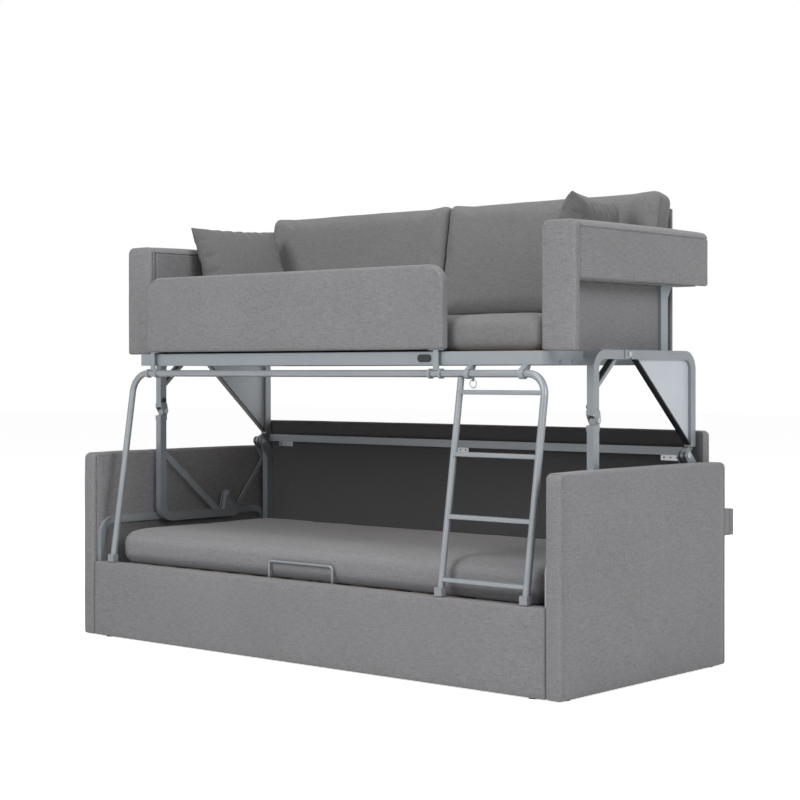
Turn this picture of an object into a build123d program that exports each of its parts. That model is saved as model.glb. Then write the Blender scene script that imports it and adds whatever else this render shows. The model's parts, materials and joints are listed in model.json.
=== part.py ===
from build123d import *
import os
from math import atan2, cos, hypot, pi, radians, sin

# A sofa that lifts into a bunk bed. A fixed base holds the lower bed. The upper sofa is its own deck, and at
# each end two swinging links of equal length carry it, so it stays level while it sinks between the base's
# side arms to make a sofa.
#
# Lengths are in millimetres. +Z is up, +X is right as seen from the front and -Y is the front. Places are
# drafted from the middle of the base, and keep() sets them over the middle of the whole box.

os.makedirs("parts", exist_ok=True)

# Running gaps shared by many pieces
RUN_GAP = 0.3
PIN_GAP = 0.05
CUT_OVER = 2

# Base
LENGTH = 2100
DEPTH = 900
GLIDE_RISE = 4
GLIDE_RADIUS = 14
GLIDE_INSET = 60
SIDE_THICK = 55
SIDE_HEIGHT = 650
SIDE_ROUND = 14
PANEL_THICK = 50
PANEL_SKIN = 18
PANEL_HEIGHT = 265
PANEL_ROUND = 17
PANEL_SEAM = 0.8
BACK_THICK = 50
BACK_HEIGHT = 750
BACK_ROUND = 16
SPACER_DEPTH = 55
SPACER_WIDE = 52
SPACER_TALL = 84
SPACER_LOW = 415
SPACER_ROUND = 5
SPACER_LINE = 3
inner_x = LENGTH / 2 - SIDE_THICK
front_y = -DEPTH / 2
rear_y = DEPTH / 2
back_y = rear_y - BACK_THICK
box_front = front_y + PANEL_THICK

# Steel tubes of the fixed and the lifting frames: the planes they lie in, and their sections
END_TUBE_DEEP = 15
TUBE_GAP = 7
TUBE_WIDE = 25
END_TUBE_IN = inner_x - END_TUBE_DEEP
TUBE_OUT = END_TUBE_IN - TUBE_GAP
TUBE_IN = TUBE_OUT - TUBE_WIDE
TUBE_TALL = 28
TUBE_WALL = 2
BEND = 45
CHEEK = 3
HEAD_THICK = 2.2
TONGUE_SIDE = 7
KNEE_TONGUE_SIDE = 1
LUG_SIDE = 3

# Storage box under the lower bed
BOX_SIDE_GAP = 18
BOX_HALF = TUBE_IN - BOX_SIDE_GAP
BOX_WALL = 16
BOX_LOW = 60
BOX_FLOOR = 12
BOX_DROP = 29
BOX_TOP = PANEL_HEIGHT - BOX_DROP
BATTEN_WIDE = 20
BATTEN_TALL = 20

# Lower bed, hinged at its rear edge
BED_PIVOT_INSET = 26
BED_PIVOT_RISE = 26
BED_PIVOT_Y = back_y - BED_PIVOT_INSET
BED_PIVOT_Z = BOX_TOP + BED_PIVOT_RISE
BED_PIN_RADIUS = 5
BED_LUG_RADIUS = 12
BED_BAR_WIDE = 28
BED_BAR_TALL = 22
BED_FRONT_GAP = 11.5
BED_FRONT_Y = box_front + BED_FRONT_GAP
SLAT_COUNT = 14
SLAT_WIDE = 70
SLAT_THICK = 8
SLAT_SIDE_GAP = 20
MATTRESS_SIDE = 2
MATTRESS_LIP = 3.5
MATTRESS_REAR_GAP = 19
MATTRESS_HALF = BOX_HALF - MATTRESS_SIDE
MATTRESS_FRONT = BED_FRONT_Y + MATTRESS_LIP
MATTRESS_REAR = BED_PIVOT_Y - MATTRESS_REAR_GAP
MATTRESS_THICK = 121
MATTRESS_CORNER = 60
MATTRESS_EDGE = 26
MATTRESS_DRAW = 5
HANDLE_MID = -28
HANDLE_HALF = 142
HANDLE_RISE = 82
HANDLE_FOOT_RISE = 4
HANDLE_TOP = BOX_TOP + HANDLE_RISE
HANDLE_FOOT = BOX_TOP + HANDLE_FOOT_RISE
HANDLE_WIRE = 4
HANDLE_BEND = 14

# Lifting linkage: four pivots of a parallelogram, as places across the end of the bed
REAR_PIVOT_INSET = 57
REAR_PIVOT_RISE = 23
LINK_RUN = 331
LINK_RISE = 321
KNEE_RUN = 166
KNEE_DROP = 199
rear_pivot_y, rear_pivot_z = back_y - REAR_PIVOT_INSET, SIDE_HEIGHT + REAR_PIVOT_RISE
knuckle_y, knuckle_z = rear_pivot_y - LINK_RUN, rear_pivot_z + LINK_RISE
knee_y, knee_z = knuckle_y - KNEE_RUN, knuckle_z - KNEE_DROP
leg_pivot_y, leg_pivot_z = rear_pivot_y - KNEE_RUN, rear_pivot_z - KNEE_DROP
REAR_PIVOT = (rear_pivot_y, rear_pivot_z)
KNUCKLE_PIVOT = (knuckle_y, knuckle_z)
KNEE_PIVOT = (knee_y, knee_z)
leg_pivot = (leg_pivot_y, leg_pivot_z)
EAR_RADIUS = 16
KNUCKLE_RADIUS = 12
PIN_RADIUS = 5
KNEE_PIN_RADIUS = 4
LEG_PIN_RADIUS = 6
PIN_HEAD_RADIUS = 9
JOINT_HALF_GAP = 13
KNEE_HALF_GAP = 15
LEG_SET = 8.5
LEG_BAR_DROP = 69
LEG_BAR_OVER = 35
LEG_Y = knee_y - LEG_SET
LEG_BAR_Z = leg_pivot_z - LEG_BAR_DROP
LEG_BAR_REAR = leg_pivot_y + LEG_BAR_OVER
ARM_POST_SET = 36
ARM_POST_RISE = 27
TOP_BAR_DROP = 2
ARM_POST_Y = rear_pivot_y + ARM_POST_SET
ARM_POST_LOW = rear_pivot_z + ARM_POST_RISE
TOP_BAR_Z = knuckle_z - TOP_BAR_DROP
COLLAR_TALL = 17
COLLAR_PROUD = 1.5
GUSSET_THICK = 3
GUSSET_SET = 52
GUSSET_RISE = 12
GUSSET_FRONT = knuckle_y + GUSSET_SET
GUSSET_LOW = ARM_POST_LOW + GUSSET_RISE
GUSSET_EDGE_THICK = 5
GUSSET_EDGE_SIDE = 2
LEG_BRACE_RISE = 253
LEG_BRACE_BACK = 43
LEG_BRACE_TOP = LEG_BAR_Z + LEG_BRACE_RISE
LEG_BRACE_REAR = leg_pivot_y - LEG_BRACE_BACK
LEG_BRACE_WIDE = 24
LEG_BRACE_THICK = 5
FRAME_BRACE_DROP = 114
FRAME_BRACE_BACK = 45
FRAME_BRACE_LOW = TOP_BAR_Z - FRAME_BRACE_DROP
FRAME_BRACE_REAR = knuckle_y - FRAME_BRACE_BACK
FRAME_BRACE_WIDE = 20
FRAME_BRACE_FLANGE = 5
FRAME_BRACE_SIDE = 2

# Fixed frames inside the base's side arms
END_TUBE_TALL = 24
END_TUBE_BEND = 50
END_TUBE_LOW = 30
END_TUBE_FRONT_INSET = 31
END_TUBE_REAR_INSET = 64
END_TUBE_DROP = 65
END_TUBE_FRONT = front_y + END_TUBE_FRONT_INSET
END_TUBE_REAR = rear_y - END_TUBE_REAR_INSET
END_TUBE_Z = leg_pivot_z - END_TUBE_DROP
EAR_PLATE = 6
INNER_EAR = 5
SUPPORT_LOW = 30
SUPPORT_DROP = 33
SUPPORT_TOP = rear_pivot_z - SUPPORT_DROP
SUPPORT_DEPTH = 26
EAR_FOOT_TALL = 40
STRUT_THICK = 5
STRUT_WIDE = 14
STRUT_DROP = 32
STRUT_SET = 52
STRUT_TOP = SUPPORT_TOP - STRUT_DROP
STRUT_FOOT = leg_pivot_y + STRUT_SET
RAIL_END_GAP = 10
RAIL_DROP = 79
RAIL_HALF = TUBE_IN - RAIL_END_GAP
RAIL_TALL = 26
RAIL_DEPTH = 24
RAIL_LOW = BACK_HEIGHT - RAIL_DROP
BRACKET_WIDE = 74
BRACKET_TALL = 19
BRACKET_THICK = 3
BRACKET_HOLE = 3
BRACKET_LEFT_INSET = 68
BRACKET_RIGHT_INSET = 62
BRACKET_PLACES = (BRACKET_LEFT_INSET - RAIL_HALF, 0, RAIL_HALF - BRACKET_RIGHT_INSET)

# Deck of the upper sofa
DECK_SIDE_GAP = 58
DECK_SETBACK = 130
DECK_REAR_INSET = 22
DECK_HALF = TUBE_IN - DECK_SIDE_GAP
DECK_FRONT = front_y + DECK_SETBACK
DECK_REAR = rear_y - DECK_REAR_INSET
RAIL_THICK = 20
RAIL_ABOVE_BAR = 10
DECK_RAIL_TALL = 41
RAIL_TOP = TOP_BAR_Z + RAIL_ABOVE_BAR
RAIL_BOTTOM = RAIL_TOP - DECK_RAIL_TALL
CHANNEL_WALL = 3
LIP_DEPTH = 14
CROSS_WIDE = 30
CROSS_TALL = 20
CROSS_COUNT = 3
BOARD_THICK = 12
SPACER_BAR_TALL = 18
SPACER_BAR_DEPTH = 24
SPACER_BAR_FAR = 112
SPACER_BAR_NEAR = 44
SPACER_BAR_PLACES = (knuckle_y - SPACER_BAR_FAR, knuckle_y - SPACER_BAR_NEAR)
BACKBOARD_THICK = 12
BACKBOARD_RISE = 470
BACKBOARD_TOP = RAIL_TOP + BACKBOARD_RISE
BACKBOARD_ROUND = 5
PLUG_LONG = 56
PLUG_TALL = 24
PLUG_PROUD = 1.5
BOLT_RADIUS = 6
BOLT_HEAD = 4
BOLT_LOW = 32
BOLT_HIGH = 9
BOLT_SETS = (89, 153, 245)
BOLT_PLACES = ((DECK_FRONT + BOLT_SETS[0], RAIL_TOP - BOLT_LOW), (DECK_FRONT + BOLT_SETS[1], RAIL_TOP - BOLT_LOW),
               (DECK_FRONT + BOLT_SETS[2], RAIL_TOP - BOLT_HIGH))

# Arms of the upper sofa
ARM_OVERLAP = 22
ARM_SIDE_GAP = 5
ARM_SETBACK = 24
ARM_OVERHANG = 16
ARM_GAP_TALL = 213
ARMREST_TALL = 173
ARM_IN = DECK_HALF - ARM_OVERLAP
ARM_OUT = inner_x - ARM_SIDE_GAP
ARM_FRONT = DECK_FRONT + ARM_SETBACK
ARM_BOARD = 26
ARM_REAR = DECK_REAR + ARM_OVERHANG
ARM_LOW = RAIL_TOP + ARM_GAP_TALL
ARM_TOP = ARM_LOW + ARMREST_TALL
ARM_ROUND = 24
ARM_EDGE = 9
ARM_INNER_SHORT = 84
ARM_INNER_REAR = DECK_REAR - ARM_INNER_SHORT
POCKET_GAP = 5
POCKET_ROOF = 38
POCKET_SET = 28
POCKET_IN = TUBE_IN - POCKET_GAP
POCKET_OUT = TUBE_OUT + POCKET_GAP
POCKET_TOP = ARM_TOP - POCKET_ROOF
POCKET_FRONT = knuckle_y + POCKET_SET
POCKET_REAR_WALL = 14
NOTCH_TALL = 31
NOTCH_TOP = ARM_LOW + NOTCH_TALL
ARM_POST_THICK = 12
ARM_POST_INSET = 128
ARM_POST_FRONT = DECK_REAR - ARM_POST_INSET
ARM_POST_DEPTH = 40
ARM_POST_FLARE = 24

# Cushions
SEAT_SIDE_GAP = 4
SEAT_REAR_GAP = 3
SEAT_HALF = ARM_IN - SEAT_SIDE_GAP
SEAT_FRONT = ARM_FRONT
SEAT_REAR = DECK_REAR - SEAT_REAR_GAP
SEAT_THICK = 114
SEAT_CORNER = 34
SEAT_EDGE = 24
SEAT_DRAW = 4
BACK_LEAN = 10.8
BACK_CUSHION_TALL = 406
BACK_CUSHION_THICK = 100
BACK_CUSHION_REAR = DECK_REAR
BACK_CUSHION_CORNER = 36
BACK_CUSHION_EDGE = 26
BACK_CUSHION_DRAW = 4
BACK_CUSHION_SEAM = 1.5
BACK_CUSHION_SETTLE = 2
PILLOW_SIZE = 400
PILLOW_THICK = 128
PILLOW_FROM_ARM = 140
PILLOW_FROM_REAR = 378
PILLOW_Y = DECK_REAR - PILLOW_FROM_REAR
PILLOW_RISE = 183.4
PILLOW_LEAN = 25
PILLOW_TURN = 12.3
PILLOW_CORNER = 26
PILLOW_DRAW = 16

# Ladder and its top bar
LADDER_END_GAP = 36
LADDER_BAR_SET = 10
LADDER_BAR_DROP = 27
LADDER_FOOT_INSET = 18
LADDER_HALF = TUBE_IN - LADDER_END_GAP
LADDER_TOP_Y = DECK_FRONT - LADDER_BAR_SET
LADDER_TOP_Z = RAIL_BOTTOM - LADDER_BAR_DROP
LADDER_FOOT_Y = front_y + LADDER_FOOT_INSET
LADDER_FOOT_GAP = 2.4
LADDER_RADIUS = 11.5
LADDER_WALL = 1.5
LADDER_BEND = 66
LADDER_WIDE = 319
STILE_X = LADDER_HALF - LADDER_WIDE
STILE_RADIUS = 10.5
RUNG_COUNT = 4
RUNG_DROP = 56
RUNG_PITCH = 187
RUNG_DEPTH = 20
RUNG_TALL = 14
SHOE_WIDE = 28
SHOE_DEPTH = 24
SHOE_TALL = 26
CLIP_FROM_STILE = 27
CLIP_FROM_END = 86
CLIP_WIDES = (16, 18)
CLIP_PLACES = ((STILE_X + CLIP_FROM_STILE, CLIP_WIDES[0]), (LADDER_HALF - CLIP_FROM_END, CLIP_WIDES[1]))
CLIP_WALL = 4.5
TAB_FROM_STILE = 45
TAB_X = STILE_X + TAB_FROM_STILE
TAB_THICK = 2.5
TAB_HOLE = 2.6
TAB_RADIUS = 5.5
RING_RADIUS = 12.5
RING_WIRE = 1.75
RING_PIVOT_DROP = 18
PLUG_FROM_STILE = 156
PLUG_X = STILE_X - PLUG_FROM_STILE

# Guard board
GUARD_LEFT_GAP = 35
GUARD_RIGHT_GAP = 66
GUARD_SET = 15
GUARD_GAP = 7
GUARD_TALL = 262
GUARD_LEFT = GUARD_LEFT_GAP - ARM_IN
GUARD_RIGHT = STILE_X - GUARD_RIGHT_GAP
GUARD_FRONT = LADDER_TOP_Y - GUARD_SET
GUARD_THICK = 34
GUARD_LOW = RAIL_TOP + GUARD_GAP
GUARD_TOP = GUARD_LOW + GUARD_TALL
GUARD_CORNER = 64
GUARD_ROUND = 11
GUARD_POST_LEFT_INSET = 18
GUARD_POST_RIGHT_INSET = 35
GUARD_POST_PLACES = (GUARD_LEFT + GUARD_POST_LEFT_INSET, GUARD_RIGHT - GUARD_POST_RIGHT_INSET)
GUARD_POST_WIDE = 20
GUARD_POST_THICK = 6
GUARD_FOOT_WIDE = 54
GUARD_FOOT_THICK = 3
CLAMP_SPREAD = 21
CLAMP_WIDE = 9
CLAMP_WALL = 4

# Latch that holds each knee straight
LATCH_RADIUS = 8
LATCH_LONG = 7
LATCH_STEM = 3
LATCH_GAP = 0.3
LATCH_REACH = 10
LATCH_RISE = 40

# How the soft forms swell: pairs of height share and inset, the inset counted in edge widths
SLAB_SHARES = ((0, 1), (0.10, 0.25), (0.34, 0), (0.70, 0.06), (0.90, 0.62), (1, 2.4))
# Pillow levels from the seam outwards: pairs of half-thickness share and size share
PILLOW_SHARES = ((-1, 0.42), (-0.80, 0.70), (-0.42, 0.91), (0, 1), (0.42, 0.91), (0.80, 0.70), (1, 0.42))

# More places worked out from the sizes above
half_tube = TUBE_TALL / 2
tongue_in, tongue_out = TUBE_IN + TONGUE_SIDE, TUBE_OUT - TONGUE_SIDE
knee_tongue_in, knee_tongue_out = TUBE_IN + KNEE_TONGUE_SIDE, TUBE_OUT - KNEE_TONGUE_SIDE
cheek_in, cheek_out = TUBE_IN - CHEEK, TUBE_OUT + CHEEK
seat_top = RAIL_TOP + RUN_GAP + SEAT_THICK
placing = Location((0, -SPACER_DEPTH / 2, 0))


def keep(builder, node):
    """Name a finished piece, set it in the part's own frame and write it."""
    piece = builder.part.moved(placing)
    piece.label = node
    export_step(piece, f"parts/{node}.step")


def keep_pair(right, node):
    """Write a right-hand piece and its mirror image on the left."""
    keep(right, f"right_{node}")
    with BuildPart() as left:
        mirror(right.part, about=Plane.YZ)
    keep(left, f"left_{node}")


def block(x_low, x_high, y_low, y_high, z_low, z_high, mode=Mode.ADD):
    """A box between two corners, in the open builder."""
    with Locations(((x_low + x_high) / 2, (y_low + y_high) / 2, (z_low + z_high) / 2)):
        Box(x_high - x_low, y_high - y_low, z_high - z_low, mode=mode)


def plate(points, x_low, x_high, mode=Mode.ADD):
    """A flat plate across X with an outline of (y, z) points."""
    with BuildSketch(Plane.YZ.offset(x_low)) as outline:
        with BuildLine():
            Polyline(*points, close=True)
        make_face()
    extrude(outline.sketch, amount=x_high - x_low, mode=mode)


def disc(place, radius, x_low, x_high, mode=Mode.ADD):
    """A round bar along X through a (y, z) place."""
    with BuildSketch(Plane.YZ.offset(x_low)) as outline:
        with Locations(place):
            Circle(radius)
    extrude(outline.sketch, amount=x_high - x_low, mode=mode)


def lug(place, radius, y_low, y_high, z_low, z_high, x_low, x_high):
    """A plate drawn tight round a pivot's boss and a rectangle of the tube that carries it."""
    with BuildSketch(Plane.YZ.offset(x_low)) as outline:
        with Locations(place):
            Circle(radius)
        with Locations(((y_low + y_high) / 2, (z_low + z_high) / 2)):
            Rectangle(y_high - y_low, z_high - z_low)
        make_hull()
    extrude(outline.sketch, amount=x_high - x_low)


def bent_tube(points, bend, tall, x_low, x_high, wall):
    """A hollow flat-sided tube bent across the end of the bed, along (y, z) points."""
    for inset, mode in ((0, Mode.ADD), (wall, Mode.SUBTRACT)):
        with BuildSketch(Plane.YZ.offset(x_low + inset)) as outline:
            with BuildLine():
                FilletPolyline(*points, radius=bend)
            trace(line_width=tall - 2 * inset)
        extrude(outline.sketch, amount=x_high - x_low - 2 * inset, mode=mode)


def pin(place, radius, x_low, x_high, head_thick):
    """A pivot pin along X with a flat head outside each end."""
    disc(place, radius, x_low, x_high)
    disc(place, PIN_HEAD_RADIUS, x_low - head_thick, x_low)
    disc(place, PIN_HEAD_RADIUS, x_high, x_high + head_thick)


def soft_outline(half_x, half_y, corner, draw):
    """The outline of a cushion: round corners, with sides that pull in between them."""
    cut = corner * (1 - cos(pi / 4))
    x_in, y_in = half_x - corner, half_y - corner
    with BuildLine() as border:
        ThreePointArc((x_in, -half_y), (half_x - cut, -half_y + cut), (half_x, -y_in))
        ThreePointArc((half_x, -y_in), (half_x - draw, 0), (half_x, y_in))
        ThreePointArc((half_x, y_in), (half_x - cut, half_y - cut), (x_in, half_y))
        ThreePointArc((x_in, half_y), (0, half_y - draw), (-x_in, half_y))
        ThreePointArc((-x_in, half_y), (-half_x + cut, half_y - cut), (-half_x, y_in))
        ThreePointArc((-half_x, y_in), (-half_x + draw, 0), (-half_x, -y_in))
        ThreePointArc((-half_x, -y_in), (-half_x + cut, -half_y + cut), (-x_in, -half_y))
        ThreePointArc((-x_in, -half_y), (0, -half_y + draw), (x_in, -half_y))
    make_face(border.edges())


def soft_slab(plane, half_x, half_y, thick, corner, edge, draw):
    """A cushion on a plane: flat below, with rounded edges and a crown above."""
    levels = []
    for height_share, inset in SLAB_SHARES:
        with BuildSketch(plane.offset(height_share * thick)) as level:
            soft_outline(half_x - inset * edge, half_y - inset * edge, corner, draw)
        levels.append(level.sketch)
    loft(levels)


# Fixed base

with BuildPart() as side_arm:
    block(inner_x, LENGTH / 2, front_y, rear_y, GLIDE_RISE, SIDE_HEIGHT)
    fillet(side_arm.edges().group_by(Axis.Z)[1:], SIDE_ROUND)
keep_pair(side_arm, "side_arm")

panel_half = inner_x - PANEL_SEAM
with BuildPart() as front_panel:
    block(-panel_half, panel_half, front_y, front_y + PANEL_SKIN, GLIDE_RISE, PANEL_HEIGHT)
    thick_half = END_TUBE_IN - STRUT_THICK
    block(-thick_half, thick_half, front_y, front_y + PANEL_THICK, GLIDE_RISE, PANEL_HEIGHT)
    fillet(front_panel.edges().group_by(Axis.Z)[-1].group_by(Axis.Y)[0], PANEL_ROUND)
keep(front_panel, "front_panel")

with BuildPart() as back_panel:
    block(-inner_x, inner_x, back_y, rear_y, GLIDE_RISE, BACK_HEIGHT)
    fillet(back_panel.edges().group_by(Axis.Z)[-1], BACK_ROUND)
keep(back_panel, "back_panel")

with BuildPart() as floor_glides:
    glide_x = LENGTH / 2 - SIDE_THICK / 2
    panel_x = inner_x - GLIDE_INSET
    panel_y = front_y + PANEL_THICK / 2
    corner_y = rear_y - GLIDE_INSET
    places = [(x * side, y * end) for side in (1, -1) for end in (1, -1)
              for x, y in ((glide_x, corner_y), (panel_x, panel_y))]
    with BuildSketch():
        with Locations(places):
            Circle(GLIDE_RADIUS)
    extrude(amount=GLIDE_RISE)
keep(floor_glides, "floor_glides")

with BuildPart() as storage_box:
    block(-BOX_HALF, BOX_HALF, box_front, back_y, BOX_LOW, BOX_TOP)
    hollow_half = BOX_HALF - BOX_WALL
    batten_half = hollow_half - BATTEN_WIDE
    batten_low = BOX_TOP - BATTEN_TALL
    floor_top = BOX_LOW + BOX_FLOOR
    block(-batten_half, batten_half, box_front, back_y, floor_top, BOX_TOP, mode=Mode.SUBTRACT)
    block(-hollow_half, hollow_half, box_front, back_y, floor_top, batten_low, mode=Mode.SUBTRACT)
    for side in (1, -1):
        wall_low, wall_high = sorted((side * hollow_half, side * BOX_HALF))
        lug((BED_PIVOT_Y, BED_PIVOT_Z), BED_LUG_RADIUS, BED_PIVOT_Y - BED_LUG_RADIUS,
            BED_PIVOT_Y + BED_LUG_RADIUS, batten_low, BOX_TOP, wall_low, wall_high)
        disc((BED_PIVOT_Y, BED_PIVOT_Z), BED_PIN_RADIUS + PIN_GAP, wall_low, wall_high, mode=Mode.SUBTRACT)
keep(storage_box, "storage_box")

with BuildPart() as wall_spacers:
    spacer_out = LENGTH / 2 - SPACER_LINE
    for side in (1, -1):
        low, high = sorted((side * spacer_out, side * (spacer_out - SPACER_WIDE)))
        block(low, high, rear_y, rear_y + SPACER_DEPTH, SPACER_LOW, SPACER_LOW + SPACER_TALL)
    fillet(wall_spacers.edges().group_by(Axis.Y)[-1], SPACER_ROUND)
    groove_y = rear_y + SPACER_DEPTH / 2
    for side in (1, -1):
        low, high = sorted((side * spacer_out, side * (spacer_out - SPACER_LINE / 2)))
        block(low, high, groove_y, groove_y + SPACER_LINE, SPACER_LOW, SPACER_LOW + SPACER_TALL,
              mode=Mode.SUBTRACT)
keep(wall_spacers, "wall_spacers")

# Fixed frame in the pocket of each side arm

with BuildPart() as end_tube:
    route = ((END_TUBE_FRONT, END_TUBE_LOW), (END_TUBE_FRONT, END_TUBE_Z),
             (END_TUBE_REAR, END_TUBE_Z), (END_TUBE_REAR, END_TUBE_LOW))
    bent_tube(route, END_TUBE_BEND, END_TUBE_TALL, END_TUBE_IN, inner_x, TUBE_WALL)
    ear_out = END_TUBE_IN
    ear_in = END_TUBE_IN - EAR_PLATE
    tube_low, tube_high = END_TUBE_Z - END_TUBE_TALL / 2, END_TUBE_Z + END_TUBE_TALL / 2
    lug(leg_pivot, EAR_RADIUS, leg_pivot_y - 2 * EAR_RADIUS, leg_pivot_y + 2 * EAR_RADIUS,
        tube_low, tube_high, ear_in, ear_out)
    disc(leg_pivot, LEG_PIN_RADIUS, ear_in, ear_out, mode=Mode.SUBTRACT)
keep_pair(end_tube, "end_tube")

with BuildPart() as rear_support:
    block(TUBE_IN, TUBE_OUT, back_y - SUPPORT_DEPTH, back_y, SUPPORT_LOW, SUPPORT_TOP)
    block(TUBE_IN + TUBE_WALL, TUBE_OUT - TUBE_WALL, back_y - SUPPORT_DEPTH + TUBE_WALL,
          back_y - TUBE_WALL, SUPPORT_LOW, SUPPORT_TOP, mode=Mode.SUBTRACT)
    ears = ((TUBE_IN - INNER_EAR, TUBE_IN), (TUBE_OUT, TUBE_OUT + EAR_PLATE))
    for low, high in ears:
        lug(REAR_PIVOT, EAR_RADIUS, back_y - SUPPORT_DEPTH, back_y - TUBE_WALL,
            SUPPORT_TOP - EAR_FOOT_TALL, SUPPORT_TOP, low, high)
        disc(REAR_PIVOT, PIN_RADIUS, low, high, mode=Mode.SUBTRACT)
    strut_in = TUBE_OUT + EAR_PLATE
    strut_top_y = back_y - SUPPORT_DEPTH / 2
    rise, run = STRUT_TOP - tube_high, strut_top_y - STRUT_FOOT
    strut_side = STRUT_WIDE * hypot(rise, run) / rise
    plate(((STRUT_FOOT, tube_high), (STRUT_FOOT + strut_side, tube_high),
           (strut_top_y + strut_side / 2, STRUT_TOP), (strut_top_y - strut_side / 2, STRUT_TOP)),
          strut_in, strut_in + STRUT_THICK)
keep_pair(rear_support, "rear_support")

with BuildPart() as rear_pivot_pins:
    pin(REAR_PIVOT, PIN_RADIUS, TUBE_IN - INNER_EAR, TUBE_OUT + EAR_PLATE, HEAD_THICK)
    mirror(about=Plane.YZ)
keep(rear_pivot_pins, "rear_pivot_pins")

with BuildPart() as leg_pivot_pins:
    lug_in = TUBE_IN + LUG_SIDE
    disc(leg_pivot, LEG_PIN_RADIUS, lug_in - RUN_GAP, END_TUBE_IN)
    disc(leg_pivot, PIN_HEAD_RADIUS + LEG_PIN_RADIUS / 2, TUBE_IN - INNER_EAR, lug_in - RUN_GAP)
    mirror(about=Plane.YZ)
keep(leg_pivot_pins, "leg_pivot_pins")

with BuildPart() as back_rail:
    block(-RAIL_HALF, RAIL_HALF, back_y - RAIL_DEPTH, back_y, RAIL_LOW, RAIL_LOW + RAIL_TALL)
    block(-RAIL_HALF, RAIL_HALF, back_y - RAIL_DEPTH + TUBE_WALL, back_y - TUBE_WALL,
          RAIL_LOW + TUBE_WALL, RAIL_LOW + RAIL_TALL - TUBE_WALL, mode=Mode.SUBTRACT)
keep(back_rail, "back_rail")

with BuildPart() as rail_brackets:
    for x in BRACKET_PLACES:
        block(x - BRACKET_WIDE / 2, x + BRACKET_WIDE / 2, back_y - BRACKET_THICK, back_y,
              RAIL_LOW - BRACKET_TALL, RAIL_LOW)
    hole_z = RAIL_LOW - BRACKET_TALL / 2
    holes = [(x + step * BRACKET_WIDE / 3, hole_z) for x in BRACKET_PLACES for step in (-1, 0, 1)]
    with BuildSketch(Plane.XZ.offset(-back_y)):
        with Locations(holes):
            Circle(BRACKET_HOLE)
    extrude(amount=BRACKET_THICK, mode=Mode.SUBTRACT)
keep(rail_brackets, "rail_brackets")

# Lower bed

with BuildPart() as platform_frame:
    frame_half = hollow_half - RUN_GAP
    frame_low = BOX_TOP + RUN_GAP
    frame_high = frame_low + BED_BAR_TALL
    bar_rear = BED_PIVOT_Y - BED_LUG_RADIUS
    block(-frame_half, frame_half, BED_FRONT_Y, bar_rear, frame_low, frame_high)
    block(-frame_half + BED_BAR_WIDE, frame_half - BED_BAR_WIDE, BED_FRONT_Y + BED_BAR_WIDE,
          bar_rear - BED_BAR_WIDE, frame_low, frame_high, mode=Mode.SUBTRACT)
    block(-BED_BAR_WIDE / 2, BED_BAR_WIDE / 2, BED_FRONT_Y + BED_BAR_WIDE, bar_rear - BED_BAR_WIDE,
          frame_low, frame_high)
    for side in (1, -1):
        low, high = sorted((side * frame_half, side * (frame_half - BOX_WALL)))
        lug((BED_PIVOT_Y, BED_PIVOT_Z), BED_LUG_RADIUS, bar_rear - BED_LUG_RADIUS, bar_rear,
            frame_low, frame_high, low, high)
        low, high = sorted((side * frame_half, side * BOX_HALF))
        disc((BED_PIVOT_Y, BED_PIVOT_Z), BED_PIN_RADIUS, low, high)
keep(platform_frame, "platform_frame")

with BuildPart() as platform_slats:
    slat_span = 2 * (frame_half - BED_BAR_WIDE - SLAT_SIDE_GAP) - SLAT_WIDE
    for count in range(SLAT_COUNT):
        x = -slat_span / 2 + slat_span * count / (SLAT_COUNT - 1)
        block(x - SLAT_WIDE / 2, x + SLAT_WIDE / 2, BED_FRONT_Y + BED_BAR_WIDE,
              bar_rear - BED_BAR_WIDE, frame_high - SLAT_THICK, frame_high)
keep(platform_slats, "platform_slats")

mattress_low = frame_high + RUN_GAP
with BuildPart() as lower_mattress:
    middle = (0, (MATTRESS_FRONT + MATTRESS_REAR) / 2, mattress_low)
    soft_slab(Plane(origin=middle), MATTRESS_HALF, (MATTRESS_REAR - MATTRESS_FRONT) / 2,
              MATTRESS_THICK, MATTRESS_CORNER, MATTRESS_EDGE, MATTRESS_DRAW)
keep(lower_mattress, "lower_mattress")

with BuildPart() as mattress_handle:
    wire_y = BED_FRONT_Y - HANDLE_WIRE
    with BuildLine() as wire_path:
        FilletPolyline((HANDLE_MID - HANDLE_HALF, wire_y, HANDLE_FOOT),
                       (HANDLE_MID - HANDLE_HALF, wire_y, HANDLE_TOP),
                       (HANDLE_MID + HANDLE_HALF, wire_y, HANDLE_TOP),
                       (HANDLE_MID + HANDLE_HALF, wire_y, HANDLE_FOOT), radius=HANDLE_BEND)
    with BuildSketch(Plane(origin=wire_path.line @ 0, z_dir=wire_path.line % 0)):
        Circle(HANDLE_WIRE)
    sweep(path=wire_path.line)
keep(mattress_handle, "mattress_handle")

# Rear arms, which swing about the rear pivots

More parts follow.
